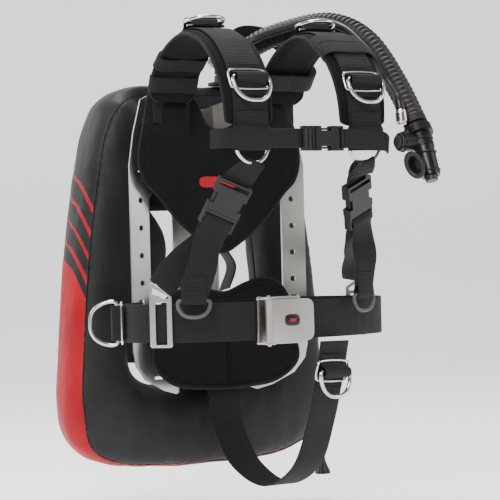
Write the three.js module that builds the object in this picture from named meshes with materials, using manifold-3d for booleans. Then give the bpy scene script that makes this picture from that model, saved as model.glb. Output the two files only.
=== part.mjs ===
// Backplate-and-wing buoyancy compensator: steel backplate, inflatable wing, padded harness,
// waist and crotch straps, tank bands, and the power inflator on its corrugated hose.
// Millimetres, +Z up, +X to the wearer's left, +Y towards the tank.
import * as THREE from "three";
import { mergeVertices } from "three/addons/utils/BufferGeometryUtils.js";
import Module from "manifold-3d";

const wasm = await Module();
wasm.setup();

// ---- driving dimensions ----
const GAP = 0.3; // clearance between pieces that touch
const PLATE_HEIGHT = 410;
const PLATE_WIDTH = 276;
const PLATE_THICKNESS = 3;
const RAIL_WIDTH = 31;
const RAIL_DROP = 8; // how far a rail's outer edge leans forward
const SIDE_DROP = 11; // how far the side panels lean back from the rails to the channel
const RAIL_HOLE_PITCH = 37.5;
const RAIL_HOLE_DIAMETER = 8;
const CHANNEL_DEPTH = 69; // from the plate's front to the rear of the channel floor
const CHANNEL_FLOOR = 70;
const CHANNEL_MOUTH = 120;
const BOLT_PITCH = 279.4;
const BOLT_RISE = 40; // how far the bolt holes sit above the plate's middle
const WINDOW_TOP = 78;
const WINDOW_BOTTOM = -95;

const WING_TOP = 226;
const WING_BOTTOM = -312;
const WING_WIDTH = 414;
const WING_MID = 83; // the wing's middle plane behind the plate's front
const TOP_LOBE = 76; // height of the lobe over the shoulders
const BOTTOM_LOBE = 118; // height of the lobe under the plate
const LOBE_DEPTH = 96; // one inflated lobe, measured front to back
const INNER_BULGE = 64; // how far the wearer's right lobe swells in beside the channel
const COVER_THICKNESS = 2;
const BLADDER_GAP = 4.5;
const WING_STATIONS = 34;

const TANK_DIAMETER = 184;
const BAND_WIDTH = 50;
const BAND_HEIGHTS = { upper: 80, lower: -140 };

const WEBBING_WIDTH = 50;
const WEBBING_THICKNESS = 2.5;
const NARROW_WIDTH = 38;
const CHEST_WIDTH = 25;
const SHOULDER_X = 86;
const SHOULDER_PAD_WIDTH = 76;
const SHOULDER_PAD_THICKNESS = 12;

const RING_WIRE = 5.5;
const RING_WIDTH = 58;
const RING_DEPTH = 38;
const RING_RUNNING_GAP = 1;
const ROLL_RADIUS = 9.6; // the roll of webbing that holds a ring's bar

const BELT_HALF_WIDTH = 190;
const BELT_HALF_DEPTH = 105;
const BELT_HEIGHT = -101;

const HOSE_DIAMETER = 33;
const LP_HOSE_DIAMETER = 10.5;
const CORD_DIAMETER = 3;

// ---- derived places ----
const PANEL_THICKNESS = 4;
const PANEL_FRONT = CHANNEL_DEPTH + GAP;
const TANK_FACE = PANEL_FRONT + PANEL_THICKNESS;
const TANK_CENTRE = TANK_FACE + TANK_DIAMETER / 2;
const BAND_RADIUS = TANK_DIAMETER / 2 + WEBBING_THICKNESS;

// ---- materials ----
const finish = (color, roughness, metalness) =>
  new THREE.MeshStandardMaterial({ color, roughness, metalness });
const steel = finish(0xb9b5ae, 0.35, 1);
const polished = finish(0xd8d4cd, 0.15, 1);
const nylon = finish(0x2b2a2b, 0.8, 0);
const webbingBlack = finish(0x232223, 0.85, 0);
const foam = finish(0x151515, 0.95, 0);
const plastic = finish(0x232323, 0.45, 0);
const rubber = finish(0x2a2827, 0.6, 0);
const greyPlastic = finish(0x6d6c66, 0.5, 0);

// ---- geometry helpers ----
const V = (x, y, z) => new THREE.Vector3(x, y, z);
const group = new THREE.Group();

function add(name, geometry, material) {
  const mesh = new THREE.Mesh(geometry, material);
  mesh.name = name;
  group.add(mesh);
  return mesh;
}

function signedVolume(geometry) {
  const p = geometry.attributes.position;
  const index = geometry.index.array;
  const [a, b, c] = [V(), V(), V()];
  let total = 0;
  for (let i = 0; i < index.length; i += 3) {
    a.fromBufferAttribute(p, index[i]);
    b.fromBufferAttribute(p, index[i + 1]);
    c.fromBufferAttribute(p, index[i + 2]);
    total += a.dot(b.cross(c));
  }
  return total / 6;
}

// Joins rings of points into one closed body; a closed loop has no end caps.
function loft(rings, closed = false) {
  const count = rings[0].length;
  const positions = rings.flat().flatMap((p) => [p.x, p.y, p.z]);
  const index = [];
  const steps = closed ? rings.length : rings.length - 1;
  for (let i = 0; i < steps; i++) {
    const here = i * count;
    const next = ((i + 1) % rings.length) * count;
    for (let k = 0; k < count; k++) {
      const l = (k + 1) % count;
      index.push(here + k, next + k, next + l, here + k, next + l, here + l);
    }
  }
  if (!closed) {
    const last = (rings.length - 1) * count;
    for (let k = 1; k < count - 1; k++) {
      index.push(0, k, k + 1);
      index.push(last, last + k + 1, last + k);
    }
  }
  const geometry = new THREE.BufferGeometry();
  geometry.setAttribute("position", new THREE.Float32BufferAttribute(positions, 3));
  geometry.setIndex(index);
  if (signedVolume(geometry) < 0) {
    for (let i = 0; i < index.length; i += 3) {
      [index[i + 1], index[i + 2]] = [index[i + 2], index[i + 1]];
    }
    geometry.setIndex(index);
  }
  return geometry;
}

function solid(geometry) {
  const bare = geometry.clone();
  bare.deleteAttribute("normal");
  bare.deleteAttribute("uv");
  const merged = mergeVertices(bare, 1e-4);
  return new wasm.Manifold(
    new wasm.Mesh({
      numProp: 3,
      vertProperties: merged.attributes.position.array,
      triVerts: new Uint32Array(merged.index.array),
    }),
  );
}

function geometryOf(manifold) {
  const mesh = manifold.getMesh();
  const geometry = new THREE.BufferGeometry();
  geometry.setAttribute("position", new THREE.Float32BufferAttribute(mesh.vertProperties, 3));
  geometry.setIndex(new THREE.Uint32BufferAttribute(mesh.triVerts, 1));
  return geometry;
}

const join = (...parts) => geometryOf(parts.map(solid).reduce((a, b) => a.add(b)));
const cut = (body, ...tools) => geometryOf(tools.map(solid).reduce((a, b) => a.subtract(b), solid(body)));

function box(x0, x1, y0, y1, z0, z1) {
  return new THREE.BoxGeometry(x1 - x0, y1 - y0, z1 - z0).translate(
    (x0 + x1) / 2,
    (y0 + y1) / 2,
    (z0 + z1) / 2,
  );
}

// A cylinder between two points.
function rod(from, to, radius, sides = 16, endRadius = radius) {
  const along = to.clone().sub(from);
  const geometry = new THREE.CylinderGeometry(endRadius, radius, along.length(), sides);
  const turn = new THREE.Quaternion().setFromUnitVectors(V(0, 1, 0), along.clone().normalize());
  const middle = from.clone().add(to).multiplyScalar(0.5);
  return geometry.applyQuaternion(turn).translate(middle.x, middle.y, middle.z);
}

// Samples a smooth path; `across` gives the width direction at each of its points.
function stations(points, across, count, closed = false) {
  const curve = new THREE.CatmullRomCurve3(points, closed, "centripetal");
  const total = closed ? count : count + 1;
  const found = [];
  for (let i = 0; i < total; i++) {
    const t = i / count;
    const place = t * (across.length - 1);
    const low = Math.min(Math.floor(place), across.length - 2);
    const wide = across.length > 1
      ? across[low].clone().lerp(across[low + 1], place - low)
      : across[0].clone();
    const along = curve.getTangent(t);
    wide.addScaledVector(along, -wide.dot(along)).normalize();
    const normal = along.clone().cross(wide).normalize();
    found.push({ t, at: curve.getPoint(t), along, wide, normal });
  }
  return found;
}

// A flat strap: a rectangular section carried along stations, `lift` above the path.
function strap(list, width, thickness, lift = 0, closed = false) {
  const half = thickness / 2;
  const rings = list.map(({ t, at, wide, normal }) => {
    const w = (typeof width === "function" ? width(t) : width) / 2;
    return [[-w, -half], [w, -half], [w, half], [-w, half]].map(([u, v]) =>
      at.clone().addScaledVector(wide, u).addScaledVector(normal, v + lift),
    );
  });
  return loft(rings, closed);
}

// A padded strip with rounded long edges.
function padding(list, width, thickness, lift) {
  const half = thickness / 2;
  const rings = list.map(({ t, at, wide, normal }) => {
    const w = width(t) / 2;
    const edge = Math.min(half, w / 2);
    const section = [
      [-w, -half * 0.3],
      [-w + edge, -half],
      [w - edge, -half],
      [w, -half * 0.3],
      [w, half * 0.3],
      [w - edge, half],
      [-w + edge, half],
      [-w, half * 0.3],
    ];
    return section.map(([u, v]) =>
      at.clone().addScaledVector(wide, u).addScaledVector(normal, v + lift),
    );
  });
  return loft(rings);
}

// A round tube along a smooth path.
function hose(points, radius, steps, sides, closed = false) {
  const shape = new THREE.Shape();
  for (let i = 0; i < sides; i++) {
    const angle = (i / sides) * Math.PI * 2;
    const [x, y] = [Math.cos(angle) * radius, Math.sin(angle) * radius];
    if (i === 0) shape.moveTo(x, y);
    else shape.lineTo(x, y);
  }
  shape.closePath();
  const extrudePath = new THREE.CatmullRomCurve3(points, closed, "centripetal");
  return new THREE.ExtrudeGeometry(shape, { steps, bevelEnabled: false, extrudePath });
}

// A closed ring of round wire through the given points.
function wireRing(points, radius, count, sides) {
  const curve = new THREE.CatmullRomCurve3(points, true, "centripetal");
  const middle = points.reduce((sum, p) => sum.add(p), V()).divideScalar(points.length);
  const rings = [];
  for (let i = 0; i < count; i++) {
    const at = curve.getPoint(i / count);
    const along = curve.getTangent(i / count);
    const outward = at.clone().sub(middle);
    outward.addScaledVector(along, -outward.dot(along)).normalize();
    const side = along.clone().cross(outward).normalize();
    const ring = [];
    for (let k = 0; k < sides; k++) {
      const angle = ((k + 0.5) / sides) * Math.PI * 2;
      ring.push(
        at.clone()
          .addScaledVector(outward, Math.cos(angle) * radius)
          .addScaledVector(side, Math.sin(angle) * radius),
      );
    }
    rings.push(ring);
  }
  return loft(rings, true);
}

// A D-ring whose straight bar is centred on `at`, along `wide`, with the bow towards `hang`.
function dRing(at, wide, hang, width = RING_WIDTH, depth = RING_DEPTH, wire = RING_WIRE) {
  const w = width / 2 - wire / 2;
  const outline = [
    [-w * 0.9, 0], [-w * 0.45, 0], [0, 0], [w * 0.45, 0], [w * 0.9, 0],
    [w, -0.12], [w * 0.97, -0.42], [w * 0.74, -0.78], [w * 0.4, -0.96], [0, -1],
    [-w * 0.4, -0.96], [-w * 0.74, -0.78], [-w * 0.97, -0.42], [-w, -0.12],
  ];
  const points = outline.map(([u, v]) =>
    at.clone().addScaledVector(wide, u).addScaledVector(hang, -v * (depth - wire)),
  );
  return wireRing(points, wire / 2, 20, 6);
}

// A flat rectangular frame of round wire, centred on `at`.
function wireFrame(at, wide, along, width, length, wire) {
  const [w, l] = [width / 2 - wire / 2, length / 2 - wire / 2];
  const round = wire;
  const corners = [[-1, -1], [1, -1], [1, 1], [-1, 1]];
  const points = [];
  corners.forEach(([sx, sy], i) => {
    const first = i % 2 === 0 ? [w, l - round] : [w - round, l];
    const second = i % 2 === 0 ? [w - round, l] : [w, l - round];
    points.push([sx * first[0], sy * first[1]], [sx * second[0], sy * second[1]]);
  });
  return wireRing(
    points.map(([u, v]) => at.clone().addScaledVector(wide, u).addScaledVector(along, v)),
    wire / 2, 16, 6,
  );
}

// A plate in the XZ plane between two depths, from an outline of [x, z] points.
function plateOf(outline, front, rear) {
  const shape = new THREE.Shape(outline.map(([x, z]) => new THREE.Vector2(x, z)));
  return new THREE.ExtrudeGeometry(shape, { depth: rear - front, bevelEnabled: false })
    .rotateX(Math.PI / 2)
    .translate(0, rear, 0);
}

// A smooth closed outline through [x, z] points.
function smooth(points, count) {
  const curve = new THREE.CatmullRomCurve3(points.map(([x, z]) => V(x, 0, z)), true, "centripetal");
  return Array.from({ length: count }, (_, i) => curve.getPoint(i / count)).map((p) => [p.x, p.z]);
}

const mirrored = (right) => [...right, ...right.slice().reverse().map(([x, z]) => [-x, z])];
const sideName = (side) => (side < 0 ? "right" : "left");

// ---- backplate ----
function backplate() {
  const rail = PLATE_WIDTH / 2;
  const bend = rail - RAIL_WIDTH;
  const floor = CHANNEL_FLOOR / 2;
  const mouth = CHANNEL_MOUTH / 2;
  const rear = [[floor, CHANNEL_DEPTH], [mouth, PLATE_THICKNESS + SIDE_DROP], [bend, PLATE_THICKNESS],
    [rail, PLATE_THICKNESS - RAIL_DROP]];
  const frontFace = rear.map(([x, y]) => [x, y - PLATE_THICKNESS]);
  const section = [
    ...frontFace.slice().reverse().map(([x, y]) => [-x, y]),
    ...frontFace,
    ...rear.slice().reverse(),
    ...rear.map(([x, y]) => [-x, y]),
  ];
  const shape = new THREE.Shape(section.map(([x, y]) => new THREE.Vector2(x, y)));
  const bent = new THREE.ExtrudeGeometry(shape, { depth: PLATE_HEIGHT, bevelEnabled: false });
  bent.translate(0, 0, -PLATE_HEIGHT / 2);

  const [top, bottom] = [PLATE_HEIGHT / 2, -PLATE_HEIGHT / 2];
  const outline = [
    [0, top - 14], [24, top - 12], [46, top - 2], [60, top], [rail - 34, top], [rail - 22, top - 6],
    [rail - 8, top - 52], [rail, top - 96], [rail, bottom + 62], [rail - 4, bottom + 42],
    [rail - 20, bottom + 22], [rail - 52, bottom + 6], [rail - 74, bottom], [44, bottom + 10],
    [24, bottom + 14],
  ];
  const far = CHANNEL_DEPTH + 20;
  const blank = solid(bent).intersect(solid(plateOf(mirrored(outline.slice(1)), -far, far)));

  const tools = [];
  for (const side of [-1, 1]) {
    const [inner, outer] = [floor + 1.5, bend - 2];
    const windowOutline = [
      [inner, WINDOW_BOTTOM + 14], [inner + 14, WINDOW_BOTTOM], [outer - 14, WINDOW_BOTTOM],
      [outer, WINDOW_BOTTOM + 14], [outer, WINDOW_TOP - 14], [outer - 14, WINDOW_TOP],
      [inner + 14, WINDOW_TOP], [inner, WINDOW_TOP - 14],
    ].map(([x, z]) => [side * x, z]);
    tools.push(plateOf(side < 0 ? windowOutline.reverse() : windowOutline, -far, far));
    for (let i = -2; i <= 2; i++) {
      const z = RAIL_HOLE_PITCH * (i + 0.65);
      const x = side * (rail - RAIL_WIDTH / 2 - 3);
      tools.push(rod(V(x, -far, z), V(x, far, z), RAIL_HOLE_DIAMETER / 2, 12));
    }
    tools.push(box(side * 86 - 29, side * 86 + 29, -far, far, top - 38, top - 30));
    tools.push(box(side * 88 - 14, side * 88 + 14, -far, far, bottom + 22, bottom + 26));
    tools.push(box(side * 121 - 5, side * 121 + 5, -far, far, BELT_HEIGHT - 28, BELT_HEIGHT + 28));
    tools.push(rod(V(side * 66, -far, top - 20), V(side * 66, far, top - 20), 4, 10));
    for (const z of Object.values(BAND_HEIGHTS)) {
      const half = BAND_WIDTH / 2 + 3;
      const [a, b] = [floor - 2, floor + 11];
      tools.push(box(Math.min(side * a, side * b), Math.max(side * a, side * b), -far, far,
        z - half, z + half));
    }
  }
  for (const z of [-BOLT_PITCH / 2, BOLT_PITCH / 2]) {
    tools.push(rod(V(0, -far, z + BOLT_RISE), V(0, far, z + BOLT_RISE), 4.8, 12));
  }
  tools.push(box(-27, 27, -far, far, bottom + 28, bottom + 36));
  add("backplate", geometryOf(tools.map(solid).reduce((a, b) => a.subtract(b), blank)), steel);
}

// ---- wing ----
// Half of the wing from above its top middle to below its bottom middle, each line an outer
// point [x, z] and the inner point [x, z] across the lobe from it.
const HALF_WING = WING_WIDTH / 2;
const WING_PAIRS = [
  [[0, WING_TOP], [0, WING_TOP - TOP_LOBE]],
  [[HALF_WING - 119, WING_TOP - 1], [46, WING_TOP - TOP_LOBE]],
  [[HALF_WING - 71, WING_TOP - 22], [74, WING_TOP - 94]],
  [[HALF_WING - 49, WING_TOP - 62], [86, WING_TOP - 116]],
  [[HALF_WING - 39, WING_TOP - 101], [90, WING_TOP - 142]],
  [[HALF_WING - 23, WING_TOP - 190], [98, WING_TOP - 200]],
  [[HALF_WING - 11, WING_TOP - 291], [106, WING_TOP - 286]],
  [[HALF_WING - 4, WING_TOP - 380], [110, WING_TOP - 352]],
  [[HALF_WING, WING_BOTTOM + 92], [106, WING_BOTTOM + 146]],
  [[HALF_WING - 8, WING_BOTTOM + 48], [94, WING_BOTTOM + 128]],
  [[HALF_WING - 33, WING_BOTTOM + 22], [76, WING_BOTTOM + BOTTOM_LOBE + 2]],
  [[HALF_WING - 79, WING_BOTTOM + 6], [54, WING_BOTTOM + BOTTOM_LOBE]],
  [[60, WING_BOTTOM], [26, WING_BOTTOM + BOTTOM_LOBE]],
];

function wingStations() {
  const around = (pick) => {
    const right = WING_PAIRS.map(pick);
    const left = right.slice(1).reverse().map(([x, z]) => [-x, z]);
    const points = [...right, ...left].map(([x, z]) => V(x, WING_MID, z));
    return new THREE.CatmullRomCurve3(points, true, "centripetal");
  };
  const outer = around(([point]) => point);
  const inner = around(([, point]) => point);
  outer.arcLengthDivisions = 800;
  return Array.from({ length: WING_STATIONS }, (_, i) => {
    const t = outer.getUtoTmapping(i / WING_STATIONS);
    const [from, to] = [inner.getPoint(t), outer.getPoint(t)];
    const half = from.distanceTo(to) / 2;
    const at = from.clone().add(to).multiplyScalar(0.5);
    const beside = Math.max(0, 1 - ((at.z + 8) / 100) ** 2);
    const bulge = at.x < 0 ? INNER_BULGE * beside : 0;
    // Over the channel the lobe lies flat behind the plate.
    const clear = at.z > 0 ? THREE.MathUtils.smoothstep(Math.abs(at.x), CHANNEL_MOUTH / 2 + 6, 104) : 1;
    const front = THREE.MathUtils.lerp(WING_MID - CHANNEL_DEPTH - 2, LOBE_DEPTH / 2, clear);
    return { at, outward: to.sub(from).normalize(), half, bulge, front };
  });
}

// A point of the lobe's rounded section: angle 0 faces outward, 90 rear, 180 inward, 270 front.
// Only the front of the lobe bulges inward, because the tank is behind it.
function lobePoint({ at, outward, half, bulge, front }, degrees, inset) {
  const angle = THREE.MathUtils.degToRad(degrees);
  const power = 0.8;
  const [c, s] = [Math.cos(angle), Math.sin(angle)];
  const inward = c < 0 ? bulge * THREE.MathUtils.smoothstep(-s, -0.45, 0.55) : 0;
  const across = Math.sign(c) * Math.abs(c) ** power * (half + inward - inset);
  const deep = Math.sign(s) * Math.abs(s) ** power * ((s < 0 ? front : LOBE_DEPTH / 2) - inset);
  return at.clone().addScaledVector(outward, across).add(V(0, deep, 0));
}

function wing() {
  const list = wingStations();
  const span = (from, to, count) =>
    Array.from({ length: count + 1 }, (_, i) => from + ((to - from) * i) / count);
  const shell = (from, to, count) => {
    const angles = span(from, to, count);
    return loft(
      list.map((station) => [
        ...angles.map((a) => lobePoint(station, a, 0)),
        ...angles.slice().reverse().map((a) => lobePoint(station, a, COVER_THICKNESS)),
      ]),
      true,
    );
  };
  add("wing_front_cover", shell(181, 389, 8), nylon);
  add("wing_rear_cover", shell(31, 179, 6), nylon);
  const angles = span(0, 324, 9);
  const inset = COVER_THICKNESS + BLADDER_GAP;
  const bladder = list.map((s) => angles.map((a) => lobePoint({ ...s, bulge: 0 }, a, inset)));
  add("wing_bladder", loft(bladder, true), nylon);

  // The centre panel lies between the plate's channel and the tank, with the lobes on both sides.
  const [low, high] = [WING_BOTTOM + BOTTOM_LOBE + 3, WING_TOP - TOP_LOBE - 3];
  add("wing_center_panel", box(-29, 29, PANEL_FRONT, TANK_FACE, low, high), nylon);

  const elbowFoot = V(60, 76, WING_TOP + 1.5);
  add("hose_elbow", join(
    rod(elbowFoot, V(60, 76, WING_TOP + 6), 24, 16),
    rod(V(60, 76, WING_TOP + 5), V(60, 74, WING_TOP + 15), 15, 16),
  ), rubber);

  const valveAt = V(HALF_WING + GAP + 0.4, WING_MID, WING_BOTTOM + 96);
  add("dump_valve", join(
    rod(valveAt, valveAt.clone().add(V(4, 0, 0)), 22, 20),
    rod(valveAt.clone().add(V(3, 0, 0)), valveAt.clone().add(V(13, 0, 0)), 17, 20, 14),
  ), plastic);
  return valveAt;
}

function dumpPull(valveAt) {
  const top = valveAt.clone().add(V(7, 0, -17 - GAP - 0.4));
  const end = top.clone().setZ(WING_BOTTOM - 3);
  const quarter = (f) => top.clone().lerp(end, f);
  add("dump_pull_cord", hose([top, quarter(0.33), quarter(0.66), end], CORD_DIAMETER / 2, 10, 8), webbingBlack);
  const profile = [[0, 0], [11, 0], [12, 3], [8, 12], [5, 22], [3.5, 26], [0, 26]];
  const bell = new THREE.LatheGeometry(profile.map(([x, y]) => new THREE.Vector2(x, y)), 16);
  bell.rotateX(Math.PI / 2).translate(end.x, end.y, end.z - 26 - GAP);
  add("dump_pull_knob", bell, plastic);
}

// ---- pads on the plate ----
function pads() {
  const rim = RAIL_DROP + 1;
  const back = smooth([
    [52, 212], [84, 214], [106, 213], [118, 168], [128, 118], [120, 88], [102, 70], [70, 34],
    [30, 2], [0, -12], [-30, 2], [-70, 34], [-102, 70], [-120, 88], [-128, 118], [-118, 168],
    [-106, 213], [-84, 214], [-52, 212], [-34, 190], [-22, 166], [0, 158], [22, 166], [34, 190],
  ].reverse(), 60).reverse();
  add("back_pad", plateOf(back, -rim - 10, -rim), foam);
  const lumbar = smooth([
    [0, -66], [34, -54], [62, -48], [88, -56], [106, -84], [112, -126], [116, -164], [84, -190],
    [30, -198], [-30, -198], [-84, -190], [-112, -164], [-110, -126], [-102, -84], [-78, -64],
    [-40, -60],
  ], 48);
  add("lumbar_pad", plateOf(lumbar, -rim - 16, -rim - 1), foam);
}

// ---- shoulder straps ----
const SHOULDER_PATH = [
  [-19, 166], [-20, 196], [-34, 234], [-78, 268], [-134, 282], [-186, 264], [-222, 226],
  [-237, 190], [-240, 160], [-240, 146],
];

function shoulder(side) {
  const name = sideName(side);
  const x = side * SHOULDER_X;
  const wide = V(1, 0, 0);
  const path = SHOULDER_PATH.map(([y, z]) => V(x, y - 10, z));
  const list = stations(path, [wide], 22);
  // The normal along x wide points towards the wearer's front and up.
  const lift = -(WEBBING_THICKNESS / 2 + GAP + SHOULDER_PAD_THICKNESS / 2);
  const swell = (t) => SHOULDER_PAD_WIDTH * (0.86 + 0.14 * Math.sin(Math.PI * t));
  const outward = Math.sign(list[10].normal.z);
  const padList = list.slice(0, 22);
  add(`${name}_shoulder_pad`, padding(padList, swell, SHOULDER_PAD_THICKNESS, lift * outward), foam);

  const roll = (index) => {
    const s = list[index];
    const height = outward * (WEBBING_THICKNESS / 2 + ROLL_RADIUS - 0.6);
    const at = s.at.clone().addScaledVector(s.normal, height);
    const end = (k) => at.clone().addScaledVector(s.wide, k * WEBBING_WIDTH * 0.44);
    const bore = RING_WIRE / 2 + RING_RUNNING_GAP;
    return { s, at, body: rod(end(-1), end(1), ROLL_RADIUS, 12), bore: rod(end(-1.2), end(1.2), bore, 12) };
  };
  const upper = roll(9);
  const lower = roll(16);
  const webbing = solid(strap(list, WEBBING_WIDTH, WEBBING_THICKNESS, 0))
    .add(solid(upper.body)).add(solid(lower.body))
    .subtract(solid(upper.bore)).subtract(solid(lower.bore));
  add(`${name}_shoulder_webbing`, geometryOf(webbing), webbingBlack);

  for (const [level, { s, at }] of [["upper", upper], ["lower", lower]]) {
    add(`${name}_${level}_d_ring`, dRing(at, s.wide, s.along), polished);
  }
  const seat = lower.s.at.clone().addScaledVector(lower.s.normal, outward * (WEBBING_THICKNESS / 2 + GAP + 2));
  add(`${name}_strap_slide`, wireFrame(seat, lower.s.wide, lower.s.along, 62, 32, 4), polished);

  // The ring that joins the wide webbing to the narrow one, and the narrow webbing below it.
  const foot = list[22];
  const ringTop = foot.at.clone().addScaledVector(foot.along, 3 + GAP);
  const ringHang = V(-side * 0.05, 0.05, -1).normalize();
  add(`${name}_strap_ring`, dRing(ringTop, wide, ringHang, 56, 46, 4.5), polished);
  return ringTop.clone().addScaledVector(ringHang, 46);
}

// ---- side-release buckle and the adjuster webbing below each shoulder ----
function buckleFrame(side) {
  const down = V(side * 0.3, 0.4, -0.866).normalize();
  const wide = V(0.9, side * 0.2, side * 0.39);
  wide.addScaledVector(down, -wide.dot(down)).normalize();
  const front = wide.clone().cross(down).normalize();
  if (front.y > 0) front.negate();
  return { down, wide, front, at: side < 0 ? V(-103, -217, 58) : V(96, -211, 60) };
}

function placed(frame, w, d, f) {
  return frame.at.clone()
    .addScaledVector(frame.wide, w)
    .addScaledVector(frame.down, d)
    .addScaledVector(frame.front, f);
}

// A block in a buckle's own directions: width, length down the strap, thickness to the front.
function block(frame, [w0, w1], [d0, d1], [f0, f1]) {
  const ring = (d) => [[w0, f0], [w1, f0], [w1, f1], [w0, f1]].map(([w, f]) => placed(frame, w, d, f));
  return loft([ring(d0), ring(d1)]);
}

const BUCKLE = { width: 46, length: 44, thickness: 13, wall: 2.4, arm: 3, ladder: 20 };

function sideRelease(name, frame, size, webbingWidth) {
  const { width, length, thickness, wall, ladder } = size;
  const [w, l, h] = [width / 2, length / 2, thickness / 2];
  const slot = webbingWidth / 2 + 1;
  const socket = cut(
    block(frame, [-w, w], [-l, l], [-h, h]),
    block(frame, [-w + wall, w - wall], [-l + 12, l + 1], [-h + wall, h - wall]),
    block(frame, [-slot, slot], [-l + 3.5, -l + 8.5], [-h - 1, h + 1]),
    block(frame, [w - 6, w + 1], [-2, 12], [-h - 1, h + 1]),
    block(frame, [-w - 1, -w + 6], [-2, 12], [-h - 1, h + 1]),
  );
  add(`${name}_socket`, socket, plastic);
  const play = 0.6;
  const deep = h - wall - play;
  const reach = -l + 16;
  const [start, end] = [l + GAP, l + GAP + ladder];
  const plug = geometryOf(
    [
      block(frame, [-w, w], [start, end], [-h + 1, h - 1]),
      block(frame, [-w + wall + play, -w + wall + play + size.arm], [reach, start + 1], [-deep, deep]),
      block(frame, [w - wall - play - size.arm, w - wall - play], [reach, start + 1], [-deep, deep]),
      block(frame, [-2.5, 2.5], [reach, start + 1], [-deep, deep]),
    ].map(solid).reduce((a, b) => a.add(b))
      .subtract(solid(block(frame, [-slot, slot], [start + 4, start + 8], [-h - 1, h + 1])))
      .subtract(solid(block(frame, [-slot, slot], [end - 8, end - 4], [-h - 1, h + 1]))),
  );
  add(`${name}_plug`, plug, plastic);
}

// Where each belt link sits on the belt, in degrees round it.
const LINK_ANGLES = {
  right: 209,
  left: 19,
};

function adjuster(side, ringBottom) {
  const name = sideName(side);
  const frame = buckleFrame(side);
  const { length, ladder, thickness } = BUCKLE;
  sideRelease(`${name}_buckle`, frame, BUCKLE, NARROW_WIDTH);

  // Narrow webbing from the strap ring down to the socket's bar.
  const bar = placed(frame, 0, -length / 2 + 6, 0);
  const up = ringBottom.clone().add(V(0, 0, -5));
  const short = stations([up, up.clone().lerp(bar, 0.5), placed(frame, 0, -length / 2 - 7, 0)],
    [V(1, 0, 0), frame.wide], 4);
  add(`${name}_buckle_webbing`, strap(short, NARROW_WIDTH, WEBBING_THICKNESS * 2, 0), webbingBlack);

  // One webbing: from the belt link up to the ladder bars, and back down as the loose tail.
  const angle = LINK_ANGLES[name];
  const linkAt = beltPoint(angle, 5.6);
  const linkAlong = beltPoint(angle + 1, 0).sub(beltPoint(angle - 1, 0)).normalize();
  const linkTop = linkAt.clone().setZ(BELT_HEIGHT + 56);
  const ladderEnd = length / 2 + GAP + ladder;
  const behind = placed(frame, 0, ladderEnd + 6, -thickness / 2);
  const front = placed(frame, 0, ladderEnd + 6, thickness / 2 - 2);
  const tailEnd = side < 0 ? V(-146, -197, -62) : V(108, -203, -62);
  const tailWide = side < 0 ? V(0.86, -0.5, 0.1) : V(0.9, 0.3, 0.2);
  const leaving = placed(frame, 0, ladderEnd + 24, -thickness / 2 - 3);
  const hanging = placed(frame, 0, ladderEnd + 22, thickness / 2);
  const linkWide = linkAlong.clone().multiplyScalar(Math.sign(linkAlong.x));
  const halfway = (a, b) => a.clone().lerp(b, 0.5);
  const run = stations(
    [linkTop, halfway(leaving, linkTop), leaving, behind, placed(frame, 0, ladderEnd + 2.5, 0),
      front, hanging, halfway(hanging, tailEnd).add(V(0, -4, 0)), tailEnd],
    [linkWide, halfway(linkWide, frame.wide), frame.wide, frame.wide, frame.wide,
      frame.wide, frame.wide, halfway(frame.wide, tailWide), tailWide],
    32,
  );
  add(`${name}_adjuster_webbing`, strap(run, NARROW_WIDTH, WEBBING_THICKNESS), webbingBlack);

  const ringAt = tailEnd.clone().add(V(0, 0, -10));
  const level = tailWide.clone().setZ(0).normalize();
  add(`${name}_pull_ring`, dRing(ringAt, level, V(0, 0, -1), 46, 26, 5), greyPlastic);

  // A flat plate with a tall slot for the belt and a slanted bar for the narrow webbing.
  const corners = (list) => list.map(([u, v]) => new THREE.Vector2(u, v));
  const plate = new THREE.Shape(corners(
    [[-13, -31], [13, -31], [15, -29], [15, 36], [13, 38], [-12, 54], [-15, 51], [-15, -29]],
  ));
  plate.holes.push(new THREE.Path(corners([[-7, -27], [-7, 27], [8, 27], [8, -27]])));
  plate.holes.push(new THREE.Path(corners([[-11, 40], [-11, 46], [10, 35], [10, 32], [4, 32]])));
  const turned = new THREE.Matrix4().makeBasis(linkAlong, V(0, 0, 1), linkAlong.clone().cross(V(0, 0, 1)));
  add(`${name}_belt_link`, new THREE.ExtrudeGeometry(plate, { depth: 2.5, bevelEnabled: false })
    .translate(0, 0, -1.25).applyMatrix4(turned).translate(linkAt.x, linkAt.y, linkAt.z), polished);
}

// ---- chest strap ----
function chestStrap() {
  const z = 132;
  const frame = {
    down: V(-1, 0, 0), wide: V(0, 0, 1), front: V(0, -1, 0), at: V(20, -262, z),
  };
  const size = { width: 32, length: 42, thickness: 11, wall: 2, arm: 2.5, ladder: 18 };
  sideRelease("chest", frame, size, CHEST_WIDTH);
  const upright = [V(0, 0, 1)];
  // Each y is the webbing's rear face.
  const web = (x, y, height = z) => V(x, y - WEBBING_THICKNESS / 2, height);
  const right = [web(-136, -230.75), web(-124, -249.75), web(-96, -259.75), web(-60, -260.75),
    web(-24.5, -260.75)];
  add("chest_strap_right", strap(stations(right, upright, 12), CHEST_WIDTH, WEBBING_THICKNESS), webbingBlack);
  const left = [web(43, -260.75), web(70, -260.75), web(96, -258.75), web(118, -248.75, z - 4),
    web(126, -241.75, z - 7)];
  add("chest_strap_left", strap(stations(left, upright, 10), CHEST_WIDTH, WEBBING_THICKNESS), webbingBlack);
}

// ---- waist belt ----
const beltPoint = (degrees, grow = 0) => {
  const angle = THREE.MathUtils.degToRad(degrees);
  return V(
    Math.cos(angle) * (BELT_HALF_WIDTH + grow),
    Math.sin(angle) * (BELT_HALF_DEPTH + grow) - 100,
    BELT_HEIGHT,
  );
};

const HIP_RING_ANGLE = 166;

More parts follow.
